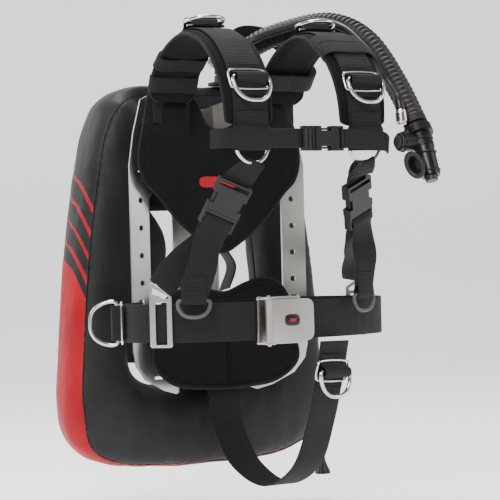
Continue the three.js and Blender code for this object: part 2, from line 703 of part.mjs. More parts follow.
function waistBelt() {
  const upright = [V(0, 0, 1)];
  const right = [V(-116, 5, BELT_HEIGHT), V(-128, -12, BELT_HEIGHT)];
  for (let a = 150; a <= 252; a += 17) right.push(beltPoint(a));
  const ringAt = beltPoint(HIP_RING_ANGLE, ROLL_RADIUS + WEBBING_THICKNESS / 2 - 0.6);
  const end = (k) => ringAt.clone().setZ(BELT_HEIGHT + k * WEBBING_WIDTH * 0.44);
  const bore = rod(end(-1.2), end(1.2), RING_WIRE / 2 + RING_RUNNING_GAP, 12);
  add("waist_belt_right", geometryOf(
    solid(strap(stations(right, upright, 22), WEBBING_WIDTH, WEBBING_THICKNESS))
      .add(solid(rod(end(-1), end(1), ROLL_RADIUS, 12))).subtract(solid(bore)),
  ), webbingBlack);
  const left = [V(116, 5, BELT_HEIGHT), V(128, -12, BELT_HEIGHT)];
  for (let a = 30; a >= -88; a -= 19.6) left.push(beltPoint(a));
  add("waist_belt_left", strap(stations(left, upright, 24), WEBBING_WIDTH, WEBBING_THICKNESS), webbingBlack);

  // Cam buckle: a plate behind the webbing with two ears, a hinge pin, and the locking lever.
  const mid = beltPoint(266).y;
  const [earLow, earHigh] = [BELT_HEIGHT - 31, BELT_HEIGHT + 31];
  const back = mid + WEBBING_THICKNESS / 2 + 4;
  const pinX = -45;
  const pinY = mid - 8;
  const ear = (z0, z1) => box(pinX - 7, pinX + 7, pinY - 5, back + 1, z0, z1);
  const pinHole = rod(V(pinX, pinY, earLow - 9), V(pinX, pinY, earHigh + 9), 2.5 + GAP, 12);
  add("waist_buckle_frame", geometryOf(
    solid(box(pinX - 9, pinX + 56, back, back + 2, earLow, earHigh))
      .add(solid(ear(earLow, earLow + 2))).add(solid(ear(earHigh - 2, earHigh)))
      .subtract(solid(pinHole)),
  ), polished);
  add("waist_buckle_pin", rod(V(pinX, pinY, earLow - 2), V(pinX, pinY, earHigh + 2), 2.5, 12), polished);
  const half = 27.5;
  const leverX = pinX + 68;
  const lever = new THREE.Shape();
  lever.moveTo(pinX + 3, BELT_HEIGHT - half);
  lever.lineTo(leverX - 12, BELT_HEIGHT - half);
  lever.quadraticCurveTo(leverX, BELT_HEIGHT - half, leverX, BELT_HEIGHT - half + 12);
  lever.lineTo(leverX, BELT_HEIGHT + half - 12);
  lever.quadraticCurveTo(leverX, BELT_HEIGHT + half, leverX - 12, BELT_HEIGHT + half);
  lever.lineTo(pinX + 3, BELT_HEIGHT + half);
  const face = new THREE.ExtrudeGeometry(lever, { depth: 2, bevelEnabled: false, curveSegments: 5 })
    .rotateX(Math.PI / 2).translate(0, pinY + 1.5, 0);
  add("waist_buckle_lever", geometryOf(
    solid(face).add(solid(rod(V(pinX, pinY, BELT_HEIGHT - half), V(pinX, pinY, BELT_HEIGHT + half), 4.6, 16)))
      .subtract(solid(pinHole)),
  ), steel);

  add("hip_d_ring", dRing(ringAt, V(0, 0, 1), V(-0.866, 0.5, 0).normalize(), 62, 40), polished);
}

// ---- crotch strap ----
function crotchStrap() {
  const slot = CHANNEL_DEPTH - PLATE_THICKNESS - 3;
  const path = [V(0, slot, -172), V(0, slot / 2, -184), V(0, 6, -190), V(0, -7, -204), V(3, -14, -250),
    V(10, -46, -300), V(25, -104, -326), V(38, -158, -300), V(46, -186, -240), V(50, -201, -186),
    V(53, -209, -150), V(54, -213, -131)];
  const wide = [V(1, 0, 0), V(1, 0, 0), V(0.98, 0.1, 0), V(0.95, 0.2, 0), V(0.98, 0.17, 0)];
  const list = stations(path, wide, 28);
  const s = list[24];
  const sign = Math.sign(-s.normal.y);
  const at = s.at.clone().addScaledVector(s.normal, sign * (WEBBING_THICKNESS / 2 + ROLL_RADIUS - 0.6));
  const end = (k) => at.clone().addScaledVector(s.wide, k * WEBBING_WIDTH * 0.44);
  const body = solid(strap(list, WEBBING_WIDTH, WEBBING_THICKNESS))
    .add(solid(rod(end(-1), end(1), ROLL_RADIUS, 12)))
    .subtract(solid(rod(end(-1.2), end(1.2), RING_WIRE / 2 + RING_RUNNING_GAP, 12)));
  add("crotch_strap", geometryOf(body), webbingBlack);
  add("crotch_d_ring", dRing(at, s.wide, V(0, 0, -1)), polished);
}

// ---- tank bands ----
function tankBand(level) {
  const z = BAND_HEIGHTS[level];
  const points = [];
  for (let a = -66; a <= 246; a += 12) {
    const angle = THREE.MathUtils.degToRad(a);
    points.push(V(Math.cos(angle) * BAND_RADIUS, TANK_CENTRE + Math.sin(angle) * BAND_RADIUS, z));
  }
  const inside = CHANNEL_DEPTH - PLATE_THICKNESS - WEBBING_THICKNESS / 2 - GAP * 2;
  const edge = CHANNEL_FLOOR / 2;
  const threaded = [[edge + 4, TANK_FACE + 1], [edge + 5, inside + 3], [edge - 4, inside - 1],
    [edge - 16, inside]];
  for (const [x, y] of threaded) points.push(V(-x, y, z));
  points.push(V(0, inside, z));
  for (const [x, y] of threaded.reverse()) points.push(V(x, y, z));
  const list = stations(points, [V(0, 0, 1)], points.length, true);
  let body = solid(strap(list, BAND_WIDTH, WEBBING_THICKNESS, 0, true));
  if (level === "upper") {
    const hang = [[-2, -19, 66], [-1.5, -17, 30], [-4.5, -14, 0], [12.5, -13, -32], [-0.5, -15, -66]]
      .map(([out, behind, height]) => V(BAND_RADIUS + out, TANK_CENTRE + behind, height));
    const tail = stations(hang, [V(0.2, 0.98, 0)], 10);
    body = body.add(solid(strap(tail, 44, WEBBING_THICKNESS)));
  }
  add(`tank_band_${level}`, geometryOf(body), webbingBlack);

  const middle = THREE.MathUtils.degToRad(62);
  const out = V(Math.cos(middle), Math.sin(middle), 0);
  const frame = {
    wide: V(0, 0, 1), down: V(-Math.sin(middle), Math.cos(middle), 0), front: out,
    at: V(0, TANK_CENTRE, z).addScaledVector(out, BAND_RADIUS + 8),
  };
  add(`tank_buckle_${level}`, join(
    block(frame, [-27, 27], [-28, 24], [-1.5, 1.5]),
    rod(placed(frame, -27, 26, 0), placed(frame, 27, 26, 0), 4, 12),
  ), plastic);
}

// ---- inflator and its hoses ----
const HOSE_ROUTE = [[60, 72, 243], [60, 70, 250], [69, 42, 268], [82, 6, 285], [104, -34, 296], [130, -88, 301],
  [144, -127, 290], [153, -160, 269], [158, -182, 246], [161, -203, 220], [163, -224, 193],
  [164, -243, 166], [164, -254, 150]];
const LP_ROUTE = [[140, -253, 171], [140, -250, 182], [140, -238, 197], [139, -220, 215], [138, -206, 236],
  [132, -175, 266], [124, -140, 291], [108, -97, 303], [84, -46, 296], [66, -16, 288], [50, 0, 277],
  [43, 32, 266], [37, 64, 262], [60, 108, 262], [110, 140, 246], [140, 150, 208], [150, 152, 150],
  [152, 151, 95], [152, 150, 50]];

function inflator() {
  const points = (route) => route.map(([x, y, z]) => V(x, y, z));
  add("corrugated_hose", hose(points(HOSE_ROUTE), HOSE_DIAMETER / 2, 24, 12), rubber);
  add("lp_hose", hose(points(LP_ROUTE), LP_HOSE_DIAMETER / 2, 44, 8), rubber);
  add("lp_hose_fitting", rod(V(152, 150, 50 - GAP), V(152, 150, 24), 7, 12), steel);
  add("quick_disconnect", rod(V(140, -253.2, 170), V(140, -256.8, 150), 8, 16), steel);

  const top = V(164, -255.4, 146.5);
  const elbow = V(164, -272, 119);
  const low = V(164, -285, 82);
  add("inflator_body", geometryOf([
    rod(top, V(164, -262, 136), 19, 20),
    rod(V(164, -261, 138), elbow, 14, 16),
    rod(V(164, -270, 123), low, 13, 16),
    rod(V(166, -262, 128), V(131, -262, 128), 12.5, 16),
  ].map(solid).reduce((a, b) => a.add(b))
    .subtract(solid(rod(V(140, -262, 128), V(128, -262, 128), 9.5, 16)))
    .subtract(solid(rod(low.clone().add(V(0, 4, 12)), low.clone().add(V(0, -2, -6)), 9.5, 16)))), plastic);
  add("inflate_button", rod(V(134.5, -262, 128), V(126.5, -262, 128), 8.6, 16), plastic);
  const press = V(0, -4, -12).normalize();
  const pushed = (d) => low.clone().addScaledVector(press, d);
  add("deflate_button", rod(pushed(-4), pushed(7), 8.6, 16), plastic);
  const mouth = V(147.5, -284, 98);
  const lip = mouth.clone().add(V(-16, -10, -2));
  const bore = rod(mouth.clone().lerp(lip, 0.3), mouth.clone().lerp(lip, 1.1), 7, 12);
  add("inflator_mouthpiece", cut(rod(mouth, lip, 11, 16, 14), bore), rubber);
}

function hoseRetainer() {
  // A loop round the wearer's left shoulder pad and both hoses, square to the strap's slope.
  const centre = V(SHOULDER_X, -44, 234);
  const along = V(0, -0.63, 0.78).normalize();
  const up = V(0, 0.78, 0.63).normalize();
  const outline = [[0, -22], [34, -21], [46, -8], [47, 20], [42, 52], [32, 84], [8, 102],
    [-20, 103], [-44, 88], [-54, 60], [-48, 14], [-46, -8], [-34, -21]];
  const ring = outline.map(([u, v]) => centre.clone().add(V(u, 0, 0)).addScaledVector(up, v));
  add("hose_retainer", strap(stations(ring, [along], 26, true), 26, WEBBING_THICKNESS, 0, true), webbingBlack);
}

backplate();
dumpPull(wing());
pads();
for (const side of [-1, 1]) adjuster(side, shoulder(side));
chestStrap();
waistBelt();
crotchStrap();
for (const level of Object.keys(BAND_HEIGHTS)) tankBand(level);
inflator();
hoseRetainer();

group.position.y = -TANK_FACE;
export default group;
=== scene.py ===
"""Looks of a backplate-and-wing buoyancy compensator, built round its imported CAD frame.

Shapes are worked out in millimetres behind the plate's front face, like the CAD source, and
place() turns them into metres in the frame.
"""
import math

import bmesh
import bpy
import numpy as np
from mathutils import Matrix, Vector, noise


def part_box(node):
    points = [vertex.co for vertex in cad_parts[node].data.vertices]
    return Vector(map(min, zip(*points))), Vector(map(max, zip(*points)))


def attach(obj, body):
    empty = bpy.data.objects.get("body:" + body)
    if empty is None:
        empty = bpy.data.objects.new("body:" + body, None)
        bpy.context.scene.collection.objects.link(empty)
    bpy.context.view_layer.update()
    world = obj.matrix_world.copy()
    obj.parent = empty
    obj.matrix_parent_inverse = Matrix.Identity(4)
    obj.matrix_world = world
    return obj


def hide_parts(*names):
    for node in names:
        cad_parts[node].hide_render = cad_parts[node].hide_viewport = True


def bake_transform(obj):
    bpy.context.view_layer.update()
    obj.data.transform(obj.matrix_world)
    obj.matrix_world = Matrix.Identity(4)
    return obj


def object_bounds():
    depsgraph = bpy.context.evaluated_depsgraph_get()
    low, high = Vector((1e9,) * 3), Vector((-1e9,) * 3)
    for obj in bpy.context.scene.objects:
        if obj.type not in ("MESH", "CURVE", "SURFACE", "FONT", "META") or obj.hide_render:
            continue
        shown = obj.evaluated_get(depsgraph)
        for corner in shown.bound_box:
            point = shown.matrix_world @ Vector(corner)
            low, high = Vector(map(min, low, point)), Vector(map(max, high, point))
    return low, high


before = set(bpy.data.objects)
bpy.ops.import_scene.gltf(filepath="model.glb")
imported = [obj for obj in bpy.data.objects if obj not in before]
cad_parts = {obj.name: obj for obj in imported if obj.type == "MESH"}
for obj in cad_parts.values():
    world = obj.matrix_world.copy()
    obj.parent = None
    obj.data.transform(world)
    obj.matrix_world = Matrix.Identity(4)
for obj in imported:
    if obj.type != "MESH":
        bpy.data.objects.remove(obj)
cad_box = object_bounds()

# ---- sizes, in millimetres ----
RAIL_DROP = 8
PLATE_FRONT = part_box("backplate")[0].y * 1000 + RAIL_DROP
WEBBING = 50
WEB_THICK = 2.5
NARROW = 38
CHEST = 25
SHOULDER_X = 86
PAD_WIDTH = 76
PAD_THICK = 12
GAP = 0.3
RING_WIRE = 5.5
ROLL = 9.6
BELT_A, BELT_B, BELT_Z = 190, 105, -101
WING_MID = 83
LOBE_DEPTH = 96
TOP, BOTTOM = 226, -312
CHANNEL_DEPTH = 69
TANK_CENTRE = 165.3
BAND_RADIUS = 94.5
HIP_ANGLE = 166
CHEST_Z = 132
STITCH_PITCH = 3.6
CLOTH_THICK = 1.6
UPRIGHT = [(0, 0, 1)]


def place(p):
    """A point in millimetres behind the plate's front, as metres in the frame."""
    return Vector((p[0], p[1] + PLATE_FRONT, p[2])) * 0.001


def vec(*p):
    return np.array(p, float)


def unit(v):
    return v / np.linalg.norm(v)


# ---- curves and stations ----
def circle(count):
    """Angles evenly spaced round a full turn."""
    return [2 * math.pi * k / count for k in range(count)]


def running_lengths(points):
    """The distance along a line of points, at each of them."""
    found = [0.0]
    for a, b in zip(points, points[1:]):
        found.append(found[-1] + float(np.linalg.norm(b - a)))
    return found


def point_at(points, lengths, distance):
    return vec(*(np.interp(distance, lengths, [p[k] for p in points]) for k in range(3)))


def spline(points, closed=False):
    """A centripetal Catmull-Rom curve through the points, as a function of t from 0 to 1."""
    pts = [np.array(p, float) for p in points]
    count = len(pts)

    def at(t):
        p = (count - (0 if closed else 1)) * t
        i = int(math.floor(p))
        w = p - i
        if closed:
            i %= count
        elif i >= count - 1:
            i, w = count - 2, 1.0
        p0 = pts[(i - 1) % count] if closed or i > 0 else 2 * pts[0] - pts[1]
        p1, p2 = pts[i % count], pts[(i + 1) % count]
        p3 = pts[(i + 2) % count] if closed or i + 2 < count else 2 * pts[-1] - pts[-2]
        d1 = np.sum((p2 - p1) ** 2) ** 0.25 or 1.0
        d0 = np.sum((p1 - p0) ** 2) ** 0.25 or d1
        d2 = np.sum((p3 - p2) ** 2) ** 0.25 or d1
        m1 = ((p1 - p0) / d0 - (p2 - p0) / (d0 + d1) + (p2 - p1) / d1) * d1
        m2 = ((p2 - p1) / d1 - (p3 - p1) / (d1 + d2) + (p3 - p2) / d2) * d1
        c2 = -3 * p1 + 3 * p2 - 2 * m1 - m2
        c3 = 2 * p1 - 2 * p2 + m1 + m2
        return p1 + m1 * w + c2 * w * w + c3 * w ** 3

    return at


def stations(points, across, count, closed=False):
    """Places along a curve, each with its direction, width direction and normal."""
    curve = spline(points, closed)
    across = [np.array(a, float) for a in across]
    found = []
    for i in range(count if closed else count + 1):
        t = i / count
        if closed:
            ahead, behind = curve((t + 1e-3) % 1), curve((t - 1e-3) % 1)
        else:
            ahead, behind = curve(min(t + 1e-3, 1)), curve(max(t - 1e-3, 0))
        along = unit(ahead - behind)
        if len(across) > 1:
            p = t * (len(across) - 1)
            low = min(int(p), len(across) - 2)
            wide = across[low] + (across[low + 1] - across[low]) * (p - low)
        else:
            wide = across[0]
        wide = unit(wide - along * wide.dot(along))
        found.append({"t": t, "at": curve(t), "along": along, "wide": wide,
                      "normal": np.cross(along, wide)})
    return found


# ---- meshes ----
def linked(name, data):
    obj = bpy.data.objects.new(name, data)
    bpy.context.scene.collection.objects.link(obj)
    return obj


def smoothed(mesh, angle):
    mesh.polygons.foreach_set("use_smooth", [True] * len(mesh.polygons))
    mesh.set_sharp_from_angle(angle=math.radians(angle))


def new_object(name, verts, faces, uvs=None, angle=40):
    mesh = bpy.data.meshes.new(name)
    mesh.from_pydata([tuple(place(v)) for v in verts], [], faces)
    if uvs is not None:
        layer = mesh.uv_layers.new(name="UVMap")
        for loop in mesh.loops:
            layer.data[loop.index].uv = uvs[loop.vertex_index]
    mesh.update()
    bm = bmesh.new()
    bm.from_mesh(mesh)
    bmesh.ops.recalc_face_normals(bm, faces=bm.faces)
    bm.to_mesh(mesh)
    bm.free()
    smoothed(mesh, angle)
    return linked(name, mesh)


def loft(name, rings, closed=False, uvs=None, angle=40):
    """Joins rings of points; open lofts get end caps."""
    k = len(rings[0])
    verts = [p for ring in rings for p in ring]
    faces = []
    steps = len(rings) if closed else len(rings) - 1
    for i in range(steps):
        a, b = i * k, ((i + 1) % len(rings)) * k
        for j in range(k):
            n = (j + 1) % k
            faces.append((a + j, b + j, b + n, a + n))
    if not closed:
        faces.append(tuple(range(k)))
        faces.append(tuple(reversed(range((len(rings) - 1) * k, len(rings) * k))))
    flat = None if uvs is None else [uv for ring in uvs for uv in ring]
    return new_object(name, verts, faces, flat, angle=angle)


def strap(name, stops, width, thick=WEB_THICK, closed=False):
    """Flat webbing with soft edges. UV holds millimetres across and along it."""
    lengths = running_lengths([s["at"] for s in stops])
    rings, uvs = [], []
    h = thick / 2
    for s, d in zip(stops, lengths):
        w = (width(s["t"]) if callable(width) else width) / 2
        e = min(h, w / 3)
        lower = [(-w, 0), (-w + 0.35 * e, -0.7 * h), (-w + e, -h), (-w * 0.4, -h), (w * 0.4, -h),
                 (w - e, -h), (w - 0.35 * e, -0.7 * h)]
        section = lower + [(-u, -v) for u, v in lower]
        wave = 0.35 * noise.noise(Vector((d * 0.035, 7.3, 1.1)))
        rings.append([s["at"] + s["wide"] * u + s["normal"] * (v + wave) for u, v in section])
        uvs.append([(u, d) for u, v in section])
    return loft(name, rings, closed, uvs, angle=50)


def frames_along(points, closed=False):
    """Twist-free directions across a dense line of points."""
    pts = [np.array(p, float) for p in points]
    count = len(pts)
    tangents = []
    for i in range(count):
        a = pts[(i - 1) % count] if closed or i > 0 else pts[i]
        b = pts[(i + 1) % count] if closed or i < count - 1 else pts[i]
        tangents.append(unit(b - a))
    start = vec(0, 0, 1) if abs(tangents[0][2]) < 0.9 else vec(1, 0, 0)
    side = unit(start - tangents[0] * start.dot(tangents[0]))
    found = []
    for t in tangents:
        side = unit(side - t * side.dot(t))
        found.append((t, side, np.cross(t, side)))
    return pts, found


def tube(name, points, radius, sides=14, closed=False, angle=60):
    """A round tube; radius is a number or a function of the distance along, in millimetres."""
    pts, frames = frames_along(points, closed)
    distance, rings, uvs = 0.0, [], []
    for i, (p, (_, a, b)) in enumerate(zip(pts, frames)):
        if i:
            distance += float(np.linalg.norm(p - pts[i - 1]))
        r = radius(distance) if callable(radius) else radius
        rings.append([p + (a * math.cos(q) + b * math.sin(q)) * r
                      for q in circle(sides)])
        uvs.append([(2 * math.pi * r * k / sides, distance) for k in range(sides)])
    return loft(name, rings, closed, uvs, angle)


def sample(points, count, closed=False):
    curve = spline(points, closed)
    return [curve(i / count) for i in range(count if closed else count + 1)]


def along_length(points, step):
    """Points a step apart on the smooth line through the given ones."""
    dense = sample(points, 40 * len(points))
    lengths = running_lengths(dense)
    count = max(2, round(lengths[-1] / step))
    return [point_at(dense, lengths, d) for d in np.linspace(0, lengths[-1], count + 1)]


def turned(name, profile, base, axis, sides):
    """A turned part: profile is [distance along the axis, radius] pairs from the base."""
    axis = unit(np.array(axis, float))
    side = unit(np.cross(axis, vec(0, 0, 1) if abs(axis[2]) < 0.9 else vec(1, 0, 0)))
    other = np.cross(axis, side)
    base = np.array(base, float)
    rings = [[base + axis * d + (side * math.cos(q) + other * math.sin(q)) * max(r, 0.01)
              for q in circle(sides)] for d, r in profile]
    return loft(name, rings, angle=35)


def joined(name, objects):
    """Makes one object of several."""
    bpy.context.view_layer.update()
    first = objects[0]
    with bpy.context.temp_override(active_object=first, selected_editable_objects=objects):
        bpy.ops.object.join()
    first.name = name
    return first


def bevelled(obj, width, segments=2):
    mod = obj.modifiers.new("edge", "BEVEL")
    mod.width = width * 0.001
    mod.segments = segments
    mod.limit_method = "ANGLE"
    mod.angle_limit = math.radians(35)
    mod.harden_normals = True
    return obj


def from_cad(node, width, segments=2):
    """A copy of a CAD piece with its edges rounded."""
    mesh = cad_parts[node].data.copy()
    bm = bmesh.new()
    bm.from_mesh(mesh)
    bmesh.ops.remove_doubles(bm, verts=bm.verts, dist=1e-6)
    bmesh.ops.dissolve_limit(bm, angle_limit=math.radians(1.5), verts=bm.verts, edges=bm.edges)
    bm.to_mesh(mesh)
    bm.free()
    mesh.materials.clear()
    smoothed(mesh, 32)
    return bevelled(linked(f"{node}_finish", mesh), width, segments)


def finish_piece(obj, material, body="root", nodes=()):
    """Gives a piece its material and the body it rides on, and hides the CAD nodes it stands for."""
    obj.data.materials.clear()
    obj.data.materials.append(material)
    if body:
        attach(obj, body)
    if nodes:
        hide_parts(*([nodes] if isinstance(nodes, str) else nodes))
    return obj


# ---- materials ----
class Nodes:
    """Short ways to wire a material's nodes."""

    def __init__(self, name, color, rough, metal=0.0, **fixed):
        self.mat = bpy.data.materials.new(name)
        self.mat.use_nodes = True
        self.tree = self.mat.node_tree
        self.shader = self.tree.nodes["Principled BSDF"]
        self.shader.inputs["Base Color"].default_value = (*color, 1)
        self.shader.inputs["Roughness"].default_value = rough
        self.shader.inputs["Metallic"].default_value = metal
        for key, value in fixed.items():
            self.shader.inputs[key.replace("_", " ")].default_value = value

    def add(self, kind, **values):
        node = self.tree.nodes.new(kind)
        for key, value in values.items():
            setattr(node, key, value)
        return node

    def link(self, a, b):
        self.tree.links.new(a, b)

    def math(self, operation, a, b=0.0):
        node = self.add("ShaderNodeMath", operation=operation)
        for socket, value in zip(node.inputs, (a, b)):
            if isinstance(value, (int, float)):
                socket.default_value = value
            else:
                self.link(value, socket)
        return node.outputs[0]

    def coords(self, scale=(1, 1, 1), kind="Object"):
        source = self.add("ShaderNodeTexCoord")
        mapping = self.add("ShaderNodeMapping")
        mapping.inputs["Scale"].default_value = scale
        self.link(source.outputs[kind], mapping.inputs["Vector"])
        return mapping.outputs["Vector"]

    def noise(self, vector, scale, detail=4, rough=0.55):
        node = self.add("ShaderNodeTexNoise")
        node.inputs["Scale"].default_value = scale
        node.inputs["Detail"].default_value = detail
        node.inputs["Roughness"].default_value = rough
        self.link(vector, node.inputs["Vector"])
        return node.outputs["Fac"]

    def ramp(self, value, low, high, low_at=0.3, high_at=0.7):
        node = self.add("ShaderNodeValToRGB")
        node.color_ramp.elements[0].position = low_at
        node.color_ramp.elements[1].position = high_at
        node.color_ramp.elements[0].color = (*low, 1)
        node.color_ramp.elements[1].color = (*high, 1)
        self.link(value, node.inputs["Fac"])
        return node.outputs["Color"]

    def scaled(self, value, low, high):
        node = self.add("ShaderNodeMapRange")
        node.inputs["To Min"].default_value = low
        node.inputs["To Max"].default_value = high
        self.link(value, node.inputs["Value"])
        return node.outputs["Result"]

    def bump(self, height, distance, strength, under=None):
        node = self.add("ShaderNodeBump")
        node.inputs["Strength"].default_value = strength
        node.inputs["Distance"].default_value = distance
        self.link(height, node.inputs["Height"])
        if under is not None:
            self.link(under, node.inputs["Normal"])
        return node.outputs["Normal"]

    def out(self, **sockets):
        for key, value in sockets.items():
            self.link(value, self.shader.inputs[key.replace("_", " ")])
        return self.mat


def webbing_material(name, tone, pitch):
    """Woven nylon webbing: ribs across it, crossed by a finer lengthwise weave, with painted shade in the
    grooves and painted highlight on the rib tops.
    """
    m = Nodes(name, (tone,) * 3, 0.72, Sheen_Weight=0.03, Sheen_Roughness=0.5, Specular_IOR_Level=0.22)
    uv = m.add("ShaderNodeSeparateXYZ")
    m.link(m.coords(kind="UV"), uv.inputs[0])
    u, v = uv.outputs[0], uv.outputs[1]
    slant = m.math("MULTIPLY", u, 0.06)
    ribs = m.math("SINE", m.math("MULTIPLY", m.math("ADD", v, slant), 2 * math.pi / pitch))
    threads = m.math("SINE", m.math("MULTIPLY", u, 2 * math.pi / 1.5))
    height = m.math("ADD", ribs, m.math("MULTIPLY", threads, 0.55))
    fibre = m.noise(m.coords((1, 1, 1)), 60)
    # Painted shade and highlight: the colour follows the bump height, darker in the weave's grooves and
    # lighter on its rib tops.
    color = m.ramp(height, (tone * 0.45,) * 3, (tone * 1.9, tone * 1.87, tone * 1.85), 0.0, 1.0)
    mix = m.add("ShaderNodeMix", data_type="RGBA", blend_type="MULTIPLY")
    mix.inputs["Factor"].default_value = 0.5
    m.link(color, mix.inputs["A"])
    m.link(m.ramp(fibre, (0.55, 0.55, 0.55), (1, 1, 1)), mix.inputs["B"])
    return m.out(Base_Color=mix.outputs["Result"], Roughness=m.scaled(fibre, 0.62, 0.85),
                 Normal=m.bump(height, 0.00035, 0.55))


def nylon_material(name, red=True):
    """Coated wing cloth: soft wrinkles with painted shade in their hollows and painted highlight on their
    crests, a fine weave, and red where the attribute says so.
    """
    m = Nodes(name, (0.02,) * 3, 0.5, Sheen_Weight=0.04, Sheen_Roughness=0.45, Specular_IOR_Level=0.2)
    wrinkles = m.noise(m.coords((1, 1, 0.6)), 22, 5, 0.5)
    weave = m.noise(m.coords(), 900, 1)
    # Painted shade and highlight: the black cloth is darker in the wrinkle hollows and lighter on their
    # crests, from the same noise as the wrinkle bump.
    black = m.ramp(wrinkles, (0.0075, 0.0072, 0.0078), (0.016, 0.0155, 0.016))
    color = black
    if red:
        mask = m.add("ShaderNodeAttribute", attribute_name="red")
        edge = m.math("GREATER_THAN", mask.outputs["Fac"], 0.0)
        mix = m.add("ShaderNodeMix", data_type="RGBA")
        m.link(edge, mix.inputs["Factor"])
        m.link(black, mix.inputs["A"])
        # The red is shaded the same way: painted shade in the wrinkle hollows, painted highlight on the
        # crests.
        m.link(m.ramp(wrinkles, (0.24, 0.0, 0.005), (0.36, 0.0, 0.009)), mix.inputs["B"])
        color = mix.outputs["Result"]
    soft = m.bump(wrinkles, 0.008, 0.5)
    return m.out(Base_Color=color, Roughness=m.scaled(wrinkles, 0.42, 0.62),
                 Normal=m.bump(weave, 0.0003, 0.35, soft))


def padding_material(name):
    """Matt pad cloth with a close knit."""
    tone = 0.0035
    m = Nodes(name, (tone, tone, tone), 0.9, Sheen_Weight=0.02, Specular_IOR_Level=0.15)
    cells = m.add("ShaderNodeTexVoronoi")
    cells.inputs["Scale"].default_value = 620
    m.link(m.coords(), cells.inputs["Vector"])
    wear = m.noise(m.coords(), 30)
    return m.out(Base_Color=m.ramp(wear, (tone * 0.8,) * 3, (tone * 1.6, tone * 1.55, tone * 1.55)),
                 Roughness=m.scaled(wear, 0.82, 0.97),
                 Normal=m.bump(cells.outputs["Distance"], 0.0006, 0.6))


def metal_material(name, color, rough, grain=(1, 1, 1)):
    """Steel with a grain, faint smears and slight changes of shine."""
    m = Nodes(name, color, rough, 1.0)
    grain_noise = m.noise(m.coords(grain), 700, 2)
    smear = m.noise(m.coords(), 9, 5)
    low = tuple(c * 0.86 for c in color)
    shine = m.math("ADD", m.math("MULTIPLY", smear, 0.7), m.math("MULTIPLY", grain_noise, 0.3))
    return m.out(Base_Color=m.ramp(smear, low, color), Normal=m.bump(grain_noise, 0.00004, 0.6),
                 Roughness=m.scaled(shine, rough * 0.75, rough * 1.3))


def moulded_material(name, color, rough, grain=420, depth=0.00012):
    """Plastic or rubber with a fine moulded grain."""
    m = Nodes(name, color, rough, 0.0, Specular_IOR_Level=0.32)
    fine = m.noise(m.coords(), grain, 3)
    broad = m.noise(m.coords(), 18, 3)
    low = tuple(c * 0.75 for c in color)
    high = tuple(min(1, c * 1.35) for c in color)
    return m.out(Base_Color=m.ramp(broad, low, high), Roughness=m.scaled(broad, rough * 0.85, rough * 1.2),
                 Normal=m.bump(fine, depth, 0.5))


WEB = webbing_material("webbing_weave", 0.007, 2.6)
FINE_WEB = webbing_material("narrow_webbing_weave", 0.0065, 3.4)
BINDING = webbing_material("binding_tape", 0.006, 1.6)
NYLON = nylon_material("wing_cloth")
PLAIN_NYLON = nylon_material("panel_cloth", red=False)
PAD = padding_material("pad_cloth")
STEEL = metal_material("plate_steel_satin", (0.68, 0.655, 0.615), 0.32, (1, 1, 0.06))
# Painted shade: the lever's satin steel is a darker copy of the plate's satin steel, standing in for the shade
# on the lever's faces.
SHADED_SATIN = metal_material("lever_steel_satin_painted_shade", (0.46, 0.435, 0.41), 0.34, (0.06, 1, 1))
BRIGHT = metal_material("polished_steel", (0.62, 0.595, 0.57), 0.17)
PLASTIC = moulded_material("black_moulded", (0.004, 0.004, 0.0044), 0.34)
GREY = moulded_material("grey_moulded", (0.05, 0.049, 0.047), 0.45)
BUTTON = moulded_material("button_moulded", (0.022, 0.022, 0.023), 0.38)
HOSE = moulded_material("ribbed_rubber", (0.012, 0.0095, 0.0085), 0.42, 260)
SMOOTH_HOSE = moulded_material("smooth_rubber", (0.01, 0.01, 0.0105), 0.32, 300, 0.00006)
RUBBER = moulded_material("soft_rubber_skin", (0.009, 0.009, 0.009), 0.45)
RED = moulded_material("red_label", (0.27, 0.0, 0.008), 0.5)
THREAD = moulded_material("thread", (0.014, 0.0135, 0.0135), 0.8)


# ---- finished pieces ----
def webbing(name, stops, width, thick=WEB_THICK, cloth=FINE_WEB, body="root", nodes=(), closed=False):
    """A length of webbing with its cloth."""
    return finish_piece(strap(name, stops, width, thick, closed), cloth, body, nodes)


def steel(obj, body="root", nodes=()):
    return finish_piece(obj, BRIGHT, body, nodes)


def rounded(node, width, material, body="root", segments=3):
    """A copy of a CAD piece with its edges rounded and its material."""
    return finish_piece(from_cad(node, width, segments), material, body, node)


# ---- camera ----
CAMERA_TURN, CAMERA_ROLL = math.radians(-30), math.radians(1.4)
CAMERA_AIM = (39, -22.5, -9)
CAMERA_DISTANCE = 2.9
LENS, SENSOR = 150.3, 36


def camera():
    back = Vector((math.sin(CAMERA_TURN), -math.cos(CAMERA_TURN), 0))
    level = Vector((math.cos(CAMERA_TURN), math.sin(CAMERA_TURN), 0))
    upright = Vector((0, 0, 1))
    right = level * math.cos(CAMERA_ROLL) - upright * math.sin(CAMERA_ROLL)
    up = upright * math.cos(CAMERA_ROLL) + level * math.sin(CAMERA_ROLL)
    data = bpy.data.cameras.new("camera")
    data.lens = LENS
    data.sensor_width = SENSOR
    data.clip_end = 30
    obj = linked("camera", data)
    spot = place(CAMERA_AIM) + back * CAMERA_DISTANCE
    obj.matrix_world = Matrix.Translation(spot) @ Matrix((right, up, back)).transposed().to_4x4()
    bpy.context.scene.camera = obj


